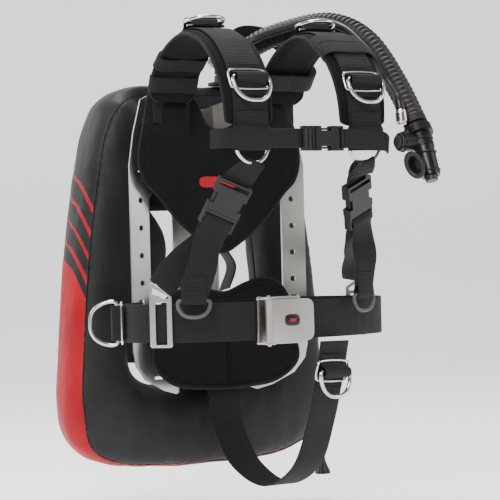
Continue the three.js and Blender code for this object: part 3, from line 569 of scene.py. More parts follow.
# ---- hoses and cords ----
HOSE_ROUTE = [(60, 72, 243), (60, 70, 250), (69, 42, 268), (82, 6, 285), (104, -34, 296), (130, -88, 301),
              (144, -127, 290), (153, -160, 269), (158, -182, 246), (161, -203, 220), (163, -224, 193),
              (164, -243, 166), (164, -254, 150)]
LP_ROUTE = [(140, -253, 171), (140, -250, 182), (140, -238, 197), (139, -220, 215), (138, -206, 236),
            (132, -175, 266), (124, -140, 291), (108, -97, 303), (84, -46, 296), (66, -16, 288), (50, 0, 277),
            (43, 32, 266), (37, 64, 262), (60, 108, 262), (110, 140, 246), (140, 150, 208), (150, 152, 150),
            (152, 151, 95), (152, 150, 50)]
RIB_PITCH = 7.6


def length_of(points):
    """The length of a line of points, in metres."""
    return running_lengths(points)[-1] * 0.001


def hoses():
    line = along_length(HOSE_ROUTE, RIB_PITCH / 8)
    total = length_of(line) * 1000

    def ribbed(d):
        cuff = min(d, total - d)
        if cuff < 12:
            return 16.4
        wave = 0.5 + 0.5 * math.cos(2 * math.pi * d / RIB_PITCH)
        return 13.9 + 2.5 * wave ** 0.6

    hose = tube("corrugated_breathing_hose", line, ribbed, 32, angle=80)
    finish_piece(hose, HOSE, nodes="corrugated_hose")

    lp_line = along_length(LP_ROUTE, 4)
    cuffs = length_of(lp_line) * 1000

    def smooth(d):
        edge = min(d, cuffs - d)
        return 6.4 if edge < 16 else 5.25 + 1.15 * math.exp(-((edge - 16) / 3) ** 2)

    lp = tube("low_pressure_hose", lp_line, smooth, 20, angle=80)
    finish_piece(lp, SMOOTH_HOSE, nodes="lp_hose")
    down = (0, 0, -1)
    stem = [(0, 0), (0, 5.6), (1, 6.4), (8, 6.4), (8.5, 7), (15, 7), (15.5, 5), (25.5, 4.6), (26, 0)]
    collar = [(0, 0), (0, 6.9), (1, 7), (2, 6.9), (2, 0)]
    fitting = joined("low_pressure_fitting", [turned("stem", stem, (152, 150, 50 - GAP), down, 12),
                                              turned("collar", collar, (152, 150, 39), down, 32)])
    finish_piece(fitting, BRIGHT, nodes="lp_hose_fitting")
    quick = quick_disconnect()


def quick_disconnect():
    start, end = vec(140, -253.2, 170.5), vec(140, -256.8, 150)
    axis = end - start
    profile = [(0, 0), (0, 6.2), (1, 7), (3, 7)]
    for i in range(6):
        d = 4 + i * 2.1
        profile += [(d, 7.9), (d + 1.2, 7.9), (d + 1.6, 7.1)]
    profile += [(17.5, 6.4), (20, 6.2), (20.4, 0)]
    obj = turned("hose_quick_disconnect", profile, start, axis, 32)
    return finish_piece(obj, BRIGHT, nodes="quick_disconnect")


def dump_cord():
    top = vec(214.7, 83, -233.7)
    end = vec(214.7, 83, BOTTOM - 3)
    line = [top + (end - top) * i / 30 for i in range(31)]
    cord = tube("dump_valve_cord", line, lambda d: 1.5 + 0.12 * math.sin(d * 2.6), 10)
    finish_piece(cord, BINDING, "dump_pull", "dump_pull_cord")
    low = end + vec(0, 0, -GAP)
    rings = []
    for d, r in [(0, 0.6), (0, 3), (1.5, 3.8), (5, 4.2), (10, 5.8), (16, 8.2), (21, 10.6), (24, 11.8),
                 (25.6, 11.6), (26, 10.2), (26, 0.6)]:
        ring = []
        for q in circle(64):
            flute = 1 - 0.09 * (0.5 + 0.5 * math.cos(8 * q)) * min(1, d / 8)
            ring.append(low + vec(math.cos(q) * r * flute, math.sin(q) * r * flute, -d))
        rings.append(ring)
    bell = loft("dump_valve_bell", rings, angle=50)
    finish_piece(bell, PLASTIC, "dump_pull", "dump_pull_knob")


# ---- wing ----
WING_PAIRS = [
    ((0, TOP), (0, TOP - 76)), ((88, TOP - 1), (46, TOP - 76)),
    ((136, TOP - 22), (74, TOP - 94)), ((158, TOP - 62), (86, TOP - 116)),
    ((168, TOP - 101), (90, TOP - 142)), ((184, TOP - 190), (98, TOP - 200)),
    ((196, TOP - 291), (106, TOP - 286)), ((203, TOP - 380), (110, TOP - 352)),
    ((207, BOTTOM + 92), (106, BOTTOM + 146)), ((199, BOTTOM + 48), (94, BOTTOM + 128)),
    ((174, BOTTOM + 22), (76, BOTTOM + 120)), ((128, BOTTOM + 6), (54, BOTTOM + 118)),
    ((60, BOTTOM), (26, BOTTOM + 118)),
]
SEAM_ANGLE = 309
STRIPES = [(105, 54, 44), (75, 21, 11), (43, -11, -20), (14, -42, -54)]
PANEL_START, PANEL_END = -12, -72


def smoothstep(x, low, high):
    t = min(1.0, max(0.0, (x - low) / (high - low)))
    return t * t * (3 - 2 * t)


def wing_stations(count):
    outer_pts = [p for p, _ in WING_PAIRS]
    inner_pts = [p for _, p in WING_PAIRS]

    def around(points):
        left = [(-x, z) for x, z in reversed(points[1:])]
        return spline([(x, WING_MID, z) for x, z in points + left], True)

    outer, inner = around(outer_pts), around(inner_pts)
    fine = 2400
    lengths = running_lengths([outer((i / fine) % 1) for i in range(fine + 1)])
    found = []
    for i in range(count):
        t = float(np.interp(lengths[-1] * i / count, lengths, np.linspace(0, 1, fine + 1)))
        a, b = inner(t), outer(t)
        at = (a + b) / 2
        beside = max(0.0, 1 - ((at[2] + 8) / 100) ** 2)
        clear = smoothstep(abs(at[0]), 66, 104) if at[2] > 0 else 1.0
        under = smoothstep(-at[2], 210, 258)
        left = smoothstep(at[0], 40, 130)
        found.append({
            "seam": SEAM_ANGLE - 360 + max(27 * under, 24 * left),
            "at": at, "outward": unit(b - a), "half": float(np.linalg.norm(b - a)) / 2,
            "bulge": 64 * beside if at[0] < 0 else 0.0, "distance": lengths[-1] * i / count,
            "front": (WING_MID - CHANNEL_DEPTH - 2) * (1 - clear) + LOBE_DEPTH / 2 * clear})
    return found


def lobe_point(s, degrees, inset=0.0):
    q = math.radians(degrees)
    c, d = math.cos(q), math.sin(q)
    inward = s["bulge"] * smoothstep(-d, -0.45, 0.55) if c < 0 else 0.0
    across = math.copysign(abs(c) ** 0.8, c) * (s["half"] + inward - inset)
    deep = math.copysign(abs(d) ** 0.8, d) * ((s["front"] if d < 0 else LOBE_DEPTH / 2) - inset)
    return s["at"] + s["outward"] * across + vec(0, deep, 0)


def redness(p, degrees, front):
    """Millimetres inside the red parts of the side panel, below zero outside them."""
    turn = (degrees + 180) % 360 - 180
    if turn < front or turn > -front + 8:
        return -5.0
    f = (turn - front) / (25 - front)
    edge = min(turn - front, -front + 8 - turn) * 0.8
    best = PANEL_END + (PANEL_START - PANEL_END) * (1 - max(0.0, 1 - f) ** 1.6) - p[2]
    for start, high, low in STRIPES:
        top = high + (start - high) * (1 - (1 - min(f, 1)) ** 1.5) + 26 * max(0, f - 1)
        thick = (high - low) * (1 - 0.72 * min(f, 1.1))
        best = max(best, min(top - p[2], p[2] - (top - thick)))
    return min(best, edge)


def lobe_shell(name, stops, low, high, count):
    """An open shell of the lobe between two section angles, with its thickness."""
    angles = [low + (high - low) * i / count for i in range(count + 1)]
    verts, faces, red = [], [], []
    for s in stops:
        for a in angles:
            p = lobe_point(s, a, 0.4)
            crease = noise.noise(Vector((p[0] * 0.018, p[1] * 0.03, p[2] * 0.016)))
            fold = noise.noise(Vector((p[0] * 0.05 + 9, p[1] * 0.06, p[2] * 0.035)))
            towards = unit(p - s["at"] + vec(0, 1e-3, 0))
            seam = min(abs((a - s["seam"] + 180) % 360 - 180), abs((a + s["seam"] + 180) % 360 - 180))
            pinch = -0.7 * math.exp(-(seam / 2.2) ** 2)
            pucker = 0.5 * math.exp(-(seam / 9) ** 2) * math.sin(s["distance"] * 0.42 + 2 * crease)
            verts.append(p + towards * (1.5 * crease + 0.9 * fold - 1.4 + pinch + pucker))
            red.append(redness(p, a, s["seam"]))
    k, n = count + 1, len(stops)
    for i in range(n):
        a, b = i * k, ((i + 1) % n) * k
        faces += [(a + j, b + j, b + j + 1, a + j + 1) for j in range(count)]
    obj = new_object(name, verts, faces, angle=70)
    attribute = obj.data.attributes.new("red", "FLOAT", "POINT")
    attribute.data.foreach_set("value", red)
    mod = obj.modifiers.new("skin", "SOLIDIFY")
    mod.thickness = CLOTH_THICK * 0.001
    mod.offset = -1
    return obj


def seam_line(stops, degrees, lift):
    found = []
    for s in stops:
        p = lobe_point(s, s["seam"] if degrees is None else degrees, 0.4)
        found.append(p + unit(p - s["at"]) * lift)
    return found


def wing():
    stops = wing_stations(420)
    front = lobe_shell("wing_front_shell", stops, 182, 390, 72)
    finish_piece(front, NYLON, nodes=("wing_front_cover", "wing_bladder"))
    rear = lobe_shell("wing_rear_shell", stops, 29, 181, 48)
    finish_piece(rear, NYLON, nodes="wing_rear_cover")
    for level, degrees in (("front", None), ("rear", 31)):
        cord = tube(f"wing_{level}_piping", seam_line(stops, degrees, -1.9), 0.9, 8, True)
        finish_piece(cord, BINDING)
    low, high = BOTTOM + 124, TOP - 82
    rows, columns = 60, 9
    verts = [(x, CHANNEL_DEPTH + 2.3 + 0.5 * math.sin(z * 0.06), z)
             for z in np.linspace(low, high, rows) for x in np.linspace(-28, 28, columns)]
    corners = [i * columns + j for i in range(rows - 1) for j in range(columns - 1)]
    panel = new_object("wing_centre_web", verts, [(c, c + 1, c + columns + 1, c + columns) for c in corners])
    mod = panel.modifiers.new("skin", "SOLIDIFY")
    mod.thickness = 0.003
    mod.offset = 0
    finish_piece(panel, PLAIN_NYLON, nodes="wing_center_panel")


# ---- pads on the plate ----
BACK_PAD = [(52, 212), (84, 214), (106, 213), (118, 168), (128, 118), (120, 88), (102, 70), (70, 34),
            (30, 2), (0, -12), (-30, 2), (-70, 34), (-102, 70), (-120, 88), (-128, 118), (-118, 168),
            (-106, 213), (-84, 214), (-52, 212), (-34, 190), (-22, 166), (0, 158), (22, 166), (34, 190)]
LUMBAR_PAD = [(0, -66), (34, -54), (62, -48), (88, -56), (106, -84), (112, -126), (116, -164), (84, -190),
              (30, -198), (-30, -198), (-84, -190), (-112, -164), (-110, -126), (-102, -84), (-78, -64),
              (-40, -60)]

TAB = [(-34, 92), (0, 93), (34, 92), (37, 86), (34, 80), (0, 79), (-34, 80), (-37, 86)]


def puffed(name, outline, centre, front, rear, creases=(), raised=None):
    """A crowned pad with a sewn line just inside its edge, and its bound edge as a second piece."""
    rim = [vec(p[0], p[1]) for p in sample(outline, 220, True)]
    middle = vec(*centre)
    steps = [0.02 + 0.05 * i for i in range(17)] + [0.86, 0.89, 0.91, 0.93, 0.95, 0.965, 0.985, 1.0]
    half = (rear - front) / 2
    mid_y = (rear + front) / 2

    def height(f, p):
        crown = 0.62 + 0.38 * (1 - f ** 2)
        edge = math.sqrt(max(0.0, 1 - ((f - 0.93) / 0.07) ** 2)) if f > 0.93 else 1.0
        pinch = 1 - 0.5 * math.exp(-((f - 0.9) / 0.018) ** 2)
        dent = 1.0
        for a, b in creases:
            along = (b - a) / np.linalg.norm(b - a)
            off = (p - a) - along * float((p - a).dot(along))
            dent -= 0.5 * math.exp(-(float(np.linalg.norm(off)) / 3.2) ** 2)
        return half * crown * max(edge, 0.12) * pinch * max(dent, 0.3)

    verts, faces = [], []
    k = len(rim)
    for side in (-1, 1):
        for f in steps:
            for r in rim:
                p = middle + (r - middle) * f
                bump = 0.35 * noise.noise(Vector((p[0] * 0.03, p[1] * 0.03, side * 3.0)))
                more = raised(p) * (1 - f ** 8) if raised and side < 0 else 0.0
                verts.append((p[0], mid_y + side * (height(f, p) + bump * (1 - f) + more), p[1]))
    rows = len(steps)
    for s in range(2):
        base = s * rows * k
        for i in range(rows - 1):
            for j in range(k):
                n = (j + 1) % k
                a, b = base + i * k, base + (i + 1) * k
                faces.append((a + j, a + n, b + n, b + j))
        faces.append(tuple(base + j for j in range(k)))
    for j in range(k):
        n = (j + 1) % k
        a, b = (rows - 1) * k, (2 * rows - 1) * k
        faces.append((a + j, a + n, b + n, b + j))
    pad = new_object(name, verts, faces, angle=75)

    def inset(f, y):
        return [(middle[0] + (r[0] - middle[0]) * f, y, middle[1] + (r[1] - middle[1]) * f) for r in rim]

    finish_piece(tube(f"{name}_binding", inset(0.988, mid_y), 2.3, 10, True), BINDING)
    stitch_line(f"{name}_stitching", inset(0.905, mid_y - half * 0.62), (0, -1, 0), closed=True)
    return pad


def stitch_line(name, points, normal, closed=False, body="root"):
    """A row of raised thread stitches along a line."""
    pts = [np.array(p, float) for p in points] + ([np.array(points[0], float)] if closed else [])
    lengths = running_lengths(pts)
    count = int(lengths[-1] / STITCH_PITCH)
    up = unit(np.array(normal, float))
    verts, faces = [], []
    for i in range(count):
        ends = [point_at(pts, lengths, (i + f) * STITCH_PITCH) for f in (0.15, 0.85)]
        along = unit(ends[1] - ends[0])
        side = np.cross(along, up)
        base = len(verts)
        for f, r in ((0, 0.15), (0.2, 0.42), (0.8, 0.42), (1, 0.15)):
            p = ends[0] + (ends[1] - ends[0]) * f
            for q in (0, 1, 2, 3, 4, 5):
                a = q * math.pi / 3
                verts.append(p + (side * math.cos(a) + up * math.sin(a)) * r)
        for row in range(3):
            for q in range(6):
                n = (q + 1) % 6
                a, b = base + row * 6, base + (row + 1) * 6
                faces.append((a + q, a + n, b + n, b + q))
        faces.append(tuple(base + q for q in reversed(range(6))))
        faces.append(tuple(base + 18 + q for q in range(6)))
    obj = new_object(name, verts, faces)
    return finish_piece(obj, THREAD, body)


def plate_pads():
    def over_strap_ends(p):
        return 18 * (1 - smoothstep(abs(abs(p[0]) - SHOULDER_X), 25, 38)) * smoothstep(p[1], 140, 168)

    back = puffed("back_pad_cushion", BACK_PAD, (0, 100), -RAIL_DROP - 11, -RAIL_DROP - 1.2,
                  raised=over_strap_ends)
    finish_piece(back, PAD, nodes="back_pad")
    creases = [(vec(-2, -40), vec(-2, -210))]
    lumbar = puffed("lumbar_cushion", LUMBAR_PAD, (2, -125), -RAIL_DROP - 17, -RAIL_DROP - 2.2, creases)
    finish_piece(lumbar, PAD, nodes="lumbar_pad")
    k = 48
    rim = sample(TAB, k, True)
    tab = new_object("back_pad_tab", [(x, y, z) for y in (-20.4, -18.6) for x, z in rim],
                     [tuple(range(k)), tuple(reversed(range(k, 2 * k)))]
                     + [(j, (j + 1) % k, k + (j + 1) % k, k + j) for j in range(k)])
    finish_piece(bevelled(tab, 0.3), RED)


# ---- rings and frames ----
def d_ring(name, at, wide, hang, width=58, depth=38, wire=RING_WIRE):
    w = width / 2 - wire / 2
    bow = [(w, -0.12), (w * 0.97, -0.42), (w * 0.74, -0.78), (w * 0.4, -0.96)]
    outline = [(u * w, 0) for u in (-0.9, -0.45, 0, 0.45, 0.9)] + bow + [(0, -1)]
    outline += [(-u, v) for u, v in reversed(bow)]
    points = [at + wide * u - hang * v * (depth - wire) for u, v in outline]
    return tube(name, sample(points, 112, True), wire / 2, 16, True)


def wire_frame(name, at, wide, along, length):
    """The bent-wire slide that holds a ring's webbing."""
    wire = 3.2
    w, l, r = WEBBING / 2 + 3.5 - wire / 2, length / 2 - wire / 2, wire * 0.7
    points = []
    for i, (sx, sy) in enumerate([(-1, -1), (1, -1), (1, 1), (-1, 1)]):
        first, second = ((w, l - r), (w - r, l)) if i % 2 == 0 else ((w - r, l), (w, l - r))
        points += [at + wide * sx * u + along * sy * v for u, v in (first, second)]
    return tube(name, sample(points, 96, True), wire / 2, 14, True)


def roll_of_webbing(name, s, outward):
    """A short doubled webbing sewn down each side of a ring's bar."""
    width, reach = 46, 22
    base = WEB_THICK / 2 + 1.0
    centre = WEB_THICK / 2 + ROLL - 0.6
    loop = [(-reach, base), (-12.5, base + 0.2), (-8.2, base + 3), (-6.6, centre - 1), (-4.6, centre + 4.4),
            (0, centre + 6.3), (4.6, centre + 4.4), (6.6, centre - 1), (8.2, base + 3), (12.5, base + 0.2),
            (reach, base)]
    points = [s["at"] + s["along"] * a + s["normal"] * outward * b for a, b in loop]
    webbing(name, stations(points, [s["wide"]], 60), width, 1.9, WEB)
    for k, a in enumerate((-19, -15, 15, 19)):
        line = [s["at"] + s["along"] * a + s["normal"] * outward * (base + 1.15) + s["wide"] * u
                for u in (-width / 2 + 3, width / 2 - 3)]
        stitch_line(f"{name}_stitch_{k}", line, s["normal"] * outward)


# ---- shoulder straps ----
SHOULDER_PATH = [(-19, 166), (-20, 196), (-34, 234), (-78, 268), (-134, 282), (-186, 264), (-222, 226),
                 (-237, 190), (-240, 160), (-240, 146)]


def shoulder(side):
    name = "right" if side < 0 else "left"
    path = [vec(side * SHOULDER_X, y - 10, z) for y, z in SHOULDER_PATH]
    coarse = stations(path, [(1, 0, 0)], 22)
    fine = stations(path, [(1, 0, 0)], 176)
    outward = math.copysign(1, coarse[10]["normal"][2])

    def swell(t):
        return PAD_WIDTH * (0.86 + 0.14 * math.sin(math.pi * t))

    lift = -(WEB_THICK / 2 + GAP + PAD_THICK / 2) * outward
    rings, left_edge, right_edge, seams = [], [], [], ([], [])
    rows = [s for s in fine if 0.105 <= s["t"] <= 21 / 22]
    for i, s in enumerate(rows):
        end = min(i, len(rows) - 1 - i)
        round_off = 1 - 0.35 * max(0.0, 1 - end / 7) ** 2
        w, h = swell(s["t"]) / 2 * round_off, PAD_THICK / 2
        section = []
        for q in circle(40):
            u = math.copysign(abs(math.cos(q)) ** 0.45, math.cos(q)) * (w - 1)
            v = math.copysign(abs(math.sin(q)) ** 0.75, math.sin(q)) * h
            v *= 0.92 + 0.08 * (1 - (u / w) ** 2)
            v *= 1 - 0.4 * math.exp(-((abs(u) - (w - 7)) / 1.6) ** 2)
            section.append(s["at"] + s["wide"] * u + s["normal"] * (v * 0.94 + lift))
        rings.append(section)
        left_edge.append(s["at"] - s["wide"] * (w - 1.6) + s["normal"] * lift)
        right_edge.append(s["at"] + s["wide"] * (w - 1.6) + s["normal"] * lift)
        for sign, line in zip((-1, 1), seams):
            line.append(s["at"] + s["wide"] * sign * (w - 7) + s["normal"] * (lift + outward * (h * 0.58)))
    pad = loft(f"{name}_shoulder_cushion", rings, angle=75)
    finish_piece(pad, PAD, nodes=f"{name}_shoulder_pad")
    ends = [left_edge, right_edge]
    for label, line in zip(("inner", "outer"), ends):
        finish_piece(tube(f"{name}_pad_{label}_binding", line, 2.2, 10), BINDING)
    for k, line in enumerate(seams):
        stitch_line(f"{name}_pad_stitch_{k}", line, (0, -0.4, 0.9))

    webbing(f"{name}_shoulder_web", fine, WEBBING, cloth=WEB, nodes=f"{name}_shoulder_webbing")
    for level, index in (("upper", 9), ("lower", 16)):
        s = coarse[index]
        roll_of_webbing(f"{name}_{level}_ring_keeper", s, outward)
        at = s["at"] + s["normal"] * outward * (WEB_THICK / 2 + ROLL - 0.6)
        ring = d_ring(f"{name}_{level}_ring_wire", at, s["wide"], s["along"])
        steel(ring, f"{name}_{level}_ring", f"{name}_{level}_d_ring")
    s = coarse[16]
    seat = s["at"] + s["normal"] * outward * (WEB_THICK / 2 + GAP + 2)
    slide = wire_frame(f"{name}_slide_wire", seat, s["wide"], s["along"], 27)
    steel(slide, nodes=f"{name}_strap_slide")
    s = coarse[9]
    seat = s["at"] + s["normal"] * outward * (WEB_THICK / 2 + 2.2)
    bar = [seat + s["along"] * 12 + s["wide"] * u for u in np.linspace(-28, 28, 9)]
    steel(tube(f"{name}_top_slide_bar", bar, 1.5, 12))
    for k, index in enumerate((4, 6) if side < 0 else (12, 13)):
        keeper(f"{name}_elastic_keeper_{k}", coarse[index], outward, swell(coarse[index]["t"]))

    foot = coarse[22]
    ring_top = foot["at"] + foot["along"] * (3 + GAP)
    hang = unit(vec(-side * 0.05, 0.05, -1))
    ring = d_ring(f"{name}_joining_ring", ring_top, vec(1, 0, 0), hang, 56, 46, 4.5)
    steel(ring, nodes=f"{name}_strap_ring")
    fold_over(f"{name}_ring_fold", ring_top, vec(1, 0, 0), vec(0, 0, 1), vec(0, -1, 0), 46, 3.6, 24)
    return ring_top + hang * 46, hang


def keeper(name, s, outward, width):
    """An elastic band round the webbing and its pad."""
    w, up, down = width / 2 + 0.6, WEB_THICK / 2 + 1.4, WEB_THICK / 2 + PAD_THICK + 1.0
    corner = [(-w, -down * 0.5), (-w + 5, -down), (0, -down - 0.2), (w - 5, -down), (w, -down * 0.5),
              (w - 3, -1.5), (27, up), (0, up + 0.3), (-27, up), (-w + 3, -1.5)]
    points = [s["at"] + s["wide"] * u + s["normal"] * outward * v for u, v in corner]
    webbing(name, stations(points, [s["along"]], 90, True), 22, 1.6, closed=True)


def fold_over(name, bar, wide, away, front, width, radius, reach, body="root"):
    """Webbing that wraps a bar and is sewn back on itself."""
    thick = 2.0
    round_bar = radius + thick / 2
    path = [(reach, radius * 0.4 + 0.6), (reach * 0.5, radius * 0.7 + 0.8), (0, round_bar), (-round_bar, 0),
            (0, -round_bar), (reach * 0.5, -radius * 0.7), (reach, -radius * 0.4)]
    points = [bar + away * a + front * b for a, b in path]
    webbing(name, stations(points, [wide], 48), width, thick, body=body)
    sewn = bar + away * reach * 0.8 + front * (radius * 0.5 + 1.7)
    line = [sewn + wide * u for u in (-width / 2 + 2, width / 2 - 2)]
    stitch_line(f"{name}_stitch", line, front, body=body)


# ---- side-release buckles and adjusters ----
def buckle_frame(side):
    down = unit(vec(side * 0.3, 0.4, -0.866))
    wide = vec(0.9, side * 0.2, side * 0.39)
    wide = unit(wide - down * wide.dot(down))
    front = unit(np.cross(wide, down))
    if front[1] > 0:
        front = -front
    at = vec(-103, -217, 58) if side < 0 else vec(96, -211, 60)
    return {"down": down, "wide": wide, "front": front, "at": at}


def in_buckle(f, w, d, h):
    return f["at"] + f["wide"] * w + f["down"] * d + f["front"] * h


def belt_point(degrees, grow=0.0):
    q = math.radians(degrees)
    return vec(math.cos(q) * (BELT_A + grow), math.sin(q) * (BELT_B + grow) - 100, BELT_Z)


LINK_ANGLES = {"right": 209, "left": 19}
TAIL_ENDS = {"right": vec(-146, -197, -62), "left": vec(108, -203, -62)}
TAIL_WIDE = {"right": vec(0.86, -0.5, 0.1), "left": vec(0.9, 0.3, 0.2)}
HALF_SOCKET, LADDER_LENGTH, BUCKLE_THICK = 22, 20, 13


def adjuster(side, ring_bottom, hang):
    name = "right" if side < 0 else "left"
    f = buckle_frame(side)
    rounded(f"{name}_buckle_socket", 1.6, PLASTIC)
    rounded(f"{name}_buckle_plug", 1.0, PLASTIC, f"{name}_plug", 2)
    bow = ring_bottom - hang * 4.5
    back = -f["front"]
    top = in_buckle(f, 0, -HALF_SOCKET - 3, 0.8)
    toward = unit(top - bow)
    round_ring = [(20, 2.4), (6, 3.4), (-3.4, 0), (6, -3.4), (20, -2.4)]
    path = [bow + toward * a + back * b for a, b in round_ring] + [top, in_buckle(f, 0, -HALF_SOCKET + 5, 0.5)]
    across_top = [f["wide"]] if side < 0 else [(1, 0, 0)] * 5 + [f["wide"]] * 2
    short = stations(path, across_top, 90)
    webbing(f"{name}_short_web", short, lambda t: 30 + 8 * smoothstep(t, 0.45, 0.75), 2.2,
            nodes=f"{name}_buckle_webbing")

    link_at = belt_point(LINK_ANGLES[name], 5.6)
    link_along = unit(belt_point(LINK_ANGLES[name] + 1) - belt_point(LINK_ANGLES[name] - 1))
    link_top = link_at.copy()
    link_top[2] = BELT_Z + 56
    end = HALF_SOCKET + GAP + LADDER_LENGTH
    behind = in_buckle(f, 0, end + 6, -BUCKLE_THICK / 2)
    leaving = in_buckle(f, 0, end + 24, -BUCKLE_THICK / 2 - 3)
    across = link_along * math.copysign(1, link_along[0])
    fixed = stations([in_buckle(f, 0, end - 7, -1.5), behind, leaving, (leaving + link_top) / 2,
                      link_top + vec(0, 0, -10)], [f["wide"], f["wide"], f["wide"], across], 60)
    web = webbing(f"{name}_fixed_web", fixed, NARROW, body=None, nodes=f"{name}_adjuster_webbing")
    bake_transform(web)

    tail_end, tail_wide = TAIL_ENDS[name], TAIL_WIDE[name]
    front = in_buckle(f, 0, end + 6, BUCKLE_THICK / 2 - 2)
    hanging = in_buckle(f, 0, end + 22, BUCKLE_THICK / 2)
    path = [in_buckle(f, 0, end - 17, 0.5), in_buckle(f, 0, end - 8, BUCKLE_THICK / 2 + 0.3), front, hanging,
            (hanging + tail_end) / 2 + vec(0, -4, 0), tail_end]
    tail = stations(path, [f["wide"]] * 3 + [tail_wide], 80)
    webbing(f"{name}_tail_web", tail, NARROW, body=f"{name}_plug", nodes=f"{name}_adjuster_webbing")
    flat = unit(vec(tail_wide[0], tail_wide[1], 0))
    ring_at = tail_end + vec(0, 0, -10)
    out = unit(np.cross(flat, vec(0, 0, -1)))
    if out[1] > 0:
        out = -out
    fold_over(f"{name}_pull_fold", ring_at, flat, vec(0, 0, 1), out, NARROW - 6, 3.1, 30, f"{name}_plug")
    ring = d_ring(f"{name}_pull_loop", ring_at, flat, vec(0, 0, -1), 46, 26, 5)
    finish_piece(ring, GREY, f"{name}_pull", f"{name}_pull_ring")
    rounded(f"{name}_belt_link", 0.7, BRIGHT, segments=2)


# ---- chest strap ----
def chest_strap():
    z = CHEST_Z
    for node, body in (("chest_socket", "root"), ("chest_plug", "chest_plug_body")):
        rounded(node, 1.1, PLASTIC, body)
    right = [vec(x, y, z) for x, y in ((-136, -232), (-124, -251), (-96, -261), (-60, -262), (-19, -262))]
    web = webbing("chest_web_right", stations(right, UPRIGHT, 90), CHEST, body=None,
                  nodes="chest_strap_right")
    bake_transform(web)
    left = [vec(38, -262, z), vec(70, -262, z), vec(96, -260, z), vec(118, -250, z - 4),
            vec(126, -243, z - 7)]
    webbing("chest_web_left", stations(left, UPRIGHT, 80), CHEST, nodes="chest_strap_left")
    for name, middle in (("right", -SHOULDER_X), ("left", SHOULDER_X)):
        loop = [vec(middle + x, y, z) for x, y in ((-27, -250), (-20, -258.5), (20, -258.5), (27, -250))]
        webbing(f"{name}_chest_loop", stations(loop, UPRIGHT, 40), CHEST + 6, 1.6)


# ---- waist belt ----
BADGE = [(-11, 0), (-9, 6), (0, 7.5), (9, 6), (11, 0), (9, -6), (0, -7.5), (-9, -6)]
BADGE_BAR = [(-5, 0), (-4, 1.7), (4, 1.7), (5, 0), (4, -1.7), (-4, -1.7)]


def waist_belt():
    for name, side, turns, count in (("right", -1, range(150, 253, 17), 170),
                                     ("left", 1, [30 - 19.6 * i for i in range(7)], 180)):
        path = [vec(side * 116, 5, BELT_Z), vec(side * 128, -12, BELT_Z)] + [belt_point(a) for a in turns]
        webbing(f"waist_web_{name}", stations(path, UPRIGHT, count), WEBBING, cloth=WEB,
                nodes=f"waist_belt_{name}")

    rounded("waist_buckle_frame", 0.6, BRIGHT, segments=2)
    mid = float(belt_point(266)[1])
    pin_x, pin_y = -45, mid - 8
    pin = turned("waist_pin", [(0, 0), (0, 2), (0.6, 2.5), (65.4, 2.5), (66, 2), (66, 0)],
                 (pin_x, pin_y, BELT_Z - 33), (0, 0, 1), 24)
    steel(pin, nodes="waist_buckle_pin")
    # The lever takes the darker satin steel copy, which paints in its shade.
    rounded("waist_buckle_lever", 0.8, SHADED_SATIN, "buckle_lever")

    def flat_ring(outline, count, y, grow=1.0):
        """A closed outline in the lever's face, round the badge's middle."""
        return [(pin_x + 35 + x * grow, y, BELT_Z + z * grow) for x, z in sample(outline, count, True)]

    badge = loft("lever_badge", [flat_ring(BADGE, 48, pin_y - d, grow)
                                 for d, grow in ((0.5, 1.0), (1.3, 1.0), (1.7, 0.92))])
    finish_piece(badge, PLASTIC, "buckle_lever")
    bar = loft("lever_badge_bar", [flat_ring(BADGE_BAR, 24, pin_y - 1.6 - d) for d in (0, 0.6)])
    finish_piece(bar, RED, "buckle_lever")

    for k, h in enumerate((-28.5, 28.5)):
        line = [vec(pin_x + x, pin_y + y, BELT_Z + h + z) for x, y, z in
                ((3, 0, 0), (-3, -1.2, 0), (-12, -1.4, 0.5), (-19, -0.6, 0.2))]
        steel(tube(f"waist_bail_wire_{k}", sample(line, 24), 1.1, 10))

    ring_at = belt_point(HIP_ANGLE, ROLL + WEB_THICK / 2 - 0.6)
    hip = d_ring("hip_ring_wire", ring_at, vec(0, 0, 1), unit(vec(-0.866, 0.5, 0)), 62, 40)
    steel(hip, "hip_ring", "hip_d_ring")
    tangent = unit(belt_point(HIP_ANGLE + 1) - belt_point(HIP_ANGLE - 1))
    turn = math.radians(HIP_ANGLE)
    normal = unit(vec(math.cos(turn) / BELT_A, math.sin(turn) / BELT_B, 0))
    s = {"at": belt_point(HIP_ANGLE), "along": tangent, "wide": vec(0, 0, 1), "normal": normal, "t": 0}
    roll_of_webbing("hip_ring_keeper", s, 1)
    seat = s["at"] + normal * (WEB_THICK / 2 + 2.4)
    steel(wire_frame("hip_slide_wire", seat, vec(0, 0, 1), tangent, 27))


# ---- crotch strap ----
def crotch_strap():
    slot_y = CHANNEL_DEPTH - 6
    path = [(0, slot_y, -172), (0, slot_y / 2, -184), (0, 6, -190), (0, -7, -204), (3, -14, -250),
            (10, -46, -300), (25, -104, -326), (38, -158, -300), (46, -186, -240), (50, -201, -186),
            (53, -209, -150), (54, -213, -131)]
    wide = [(1, 0, 0), (1, 0, 0), (0.98, 0.1, 0), (0.95, 0.2, 0), (0.98, 0.17, 0)]
    webbing("crotch_web", stations(path, wide, 224), WEBBING, cloth=WEB, nodes="crotch_strap")
    s = stations(path, wide, 28)[24]
    sign = math.copysign(1, -s["normal"][1])
    at = s["at"] + s["normal"] * sign * (WEB_THICK / 2 + ROLL - 0.6)
    ring = d_ring("crotch_ring_wire", at, s["wide"], vec(0, 0, -1))
    steel(ring, "crotch_ring", "crotch_d_ring")
    roll_of_webbing("crotch_ring_keeper", s, sign)
    seat = s["at"] + s["normal"] * sign * (WEB_THICK / 2 + 2.4)
    steel(wire_frame("crotch_slide_wire", seat, s["wide"], s["along"], 28))


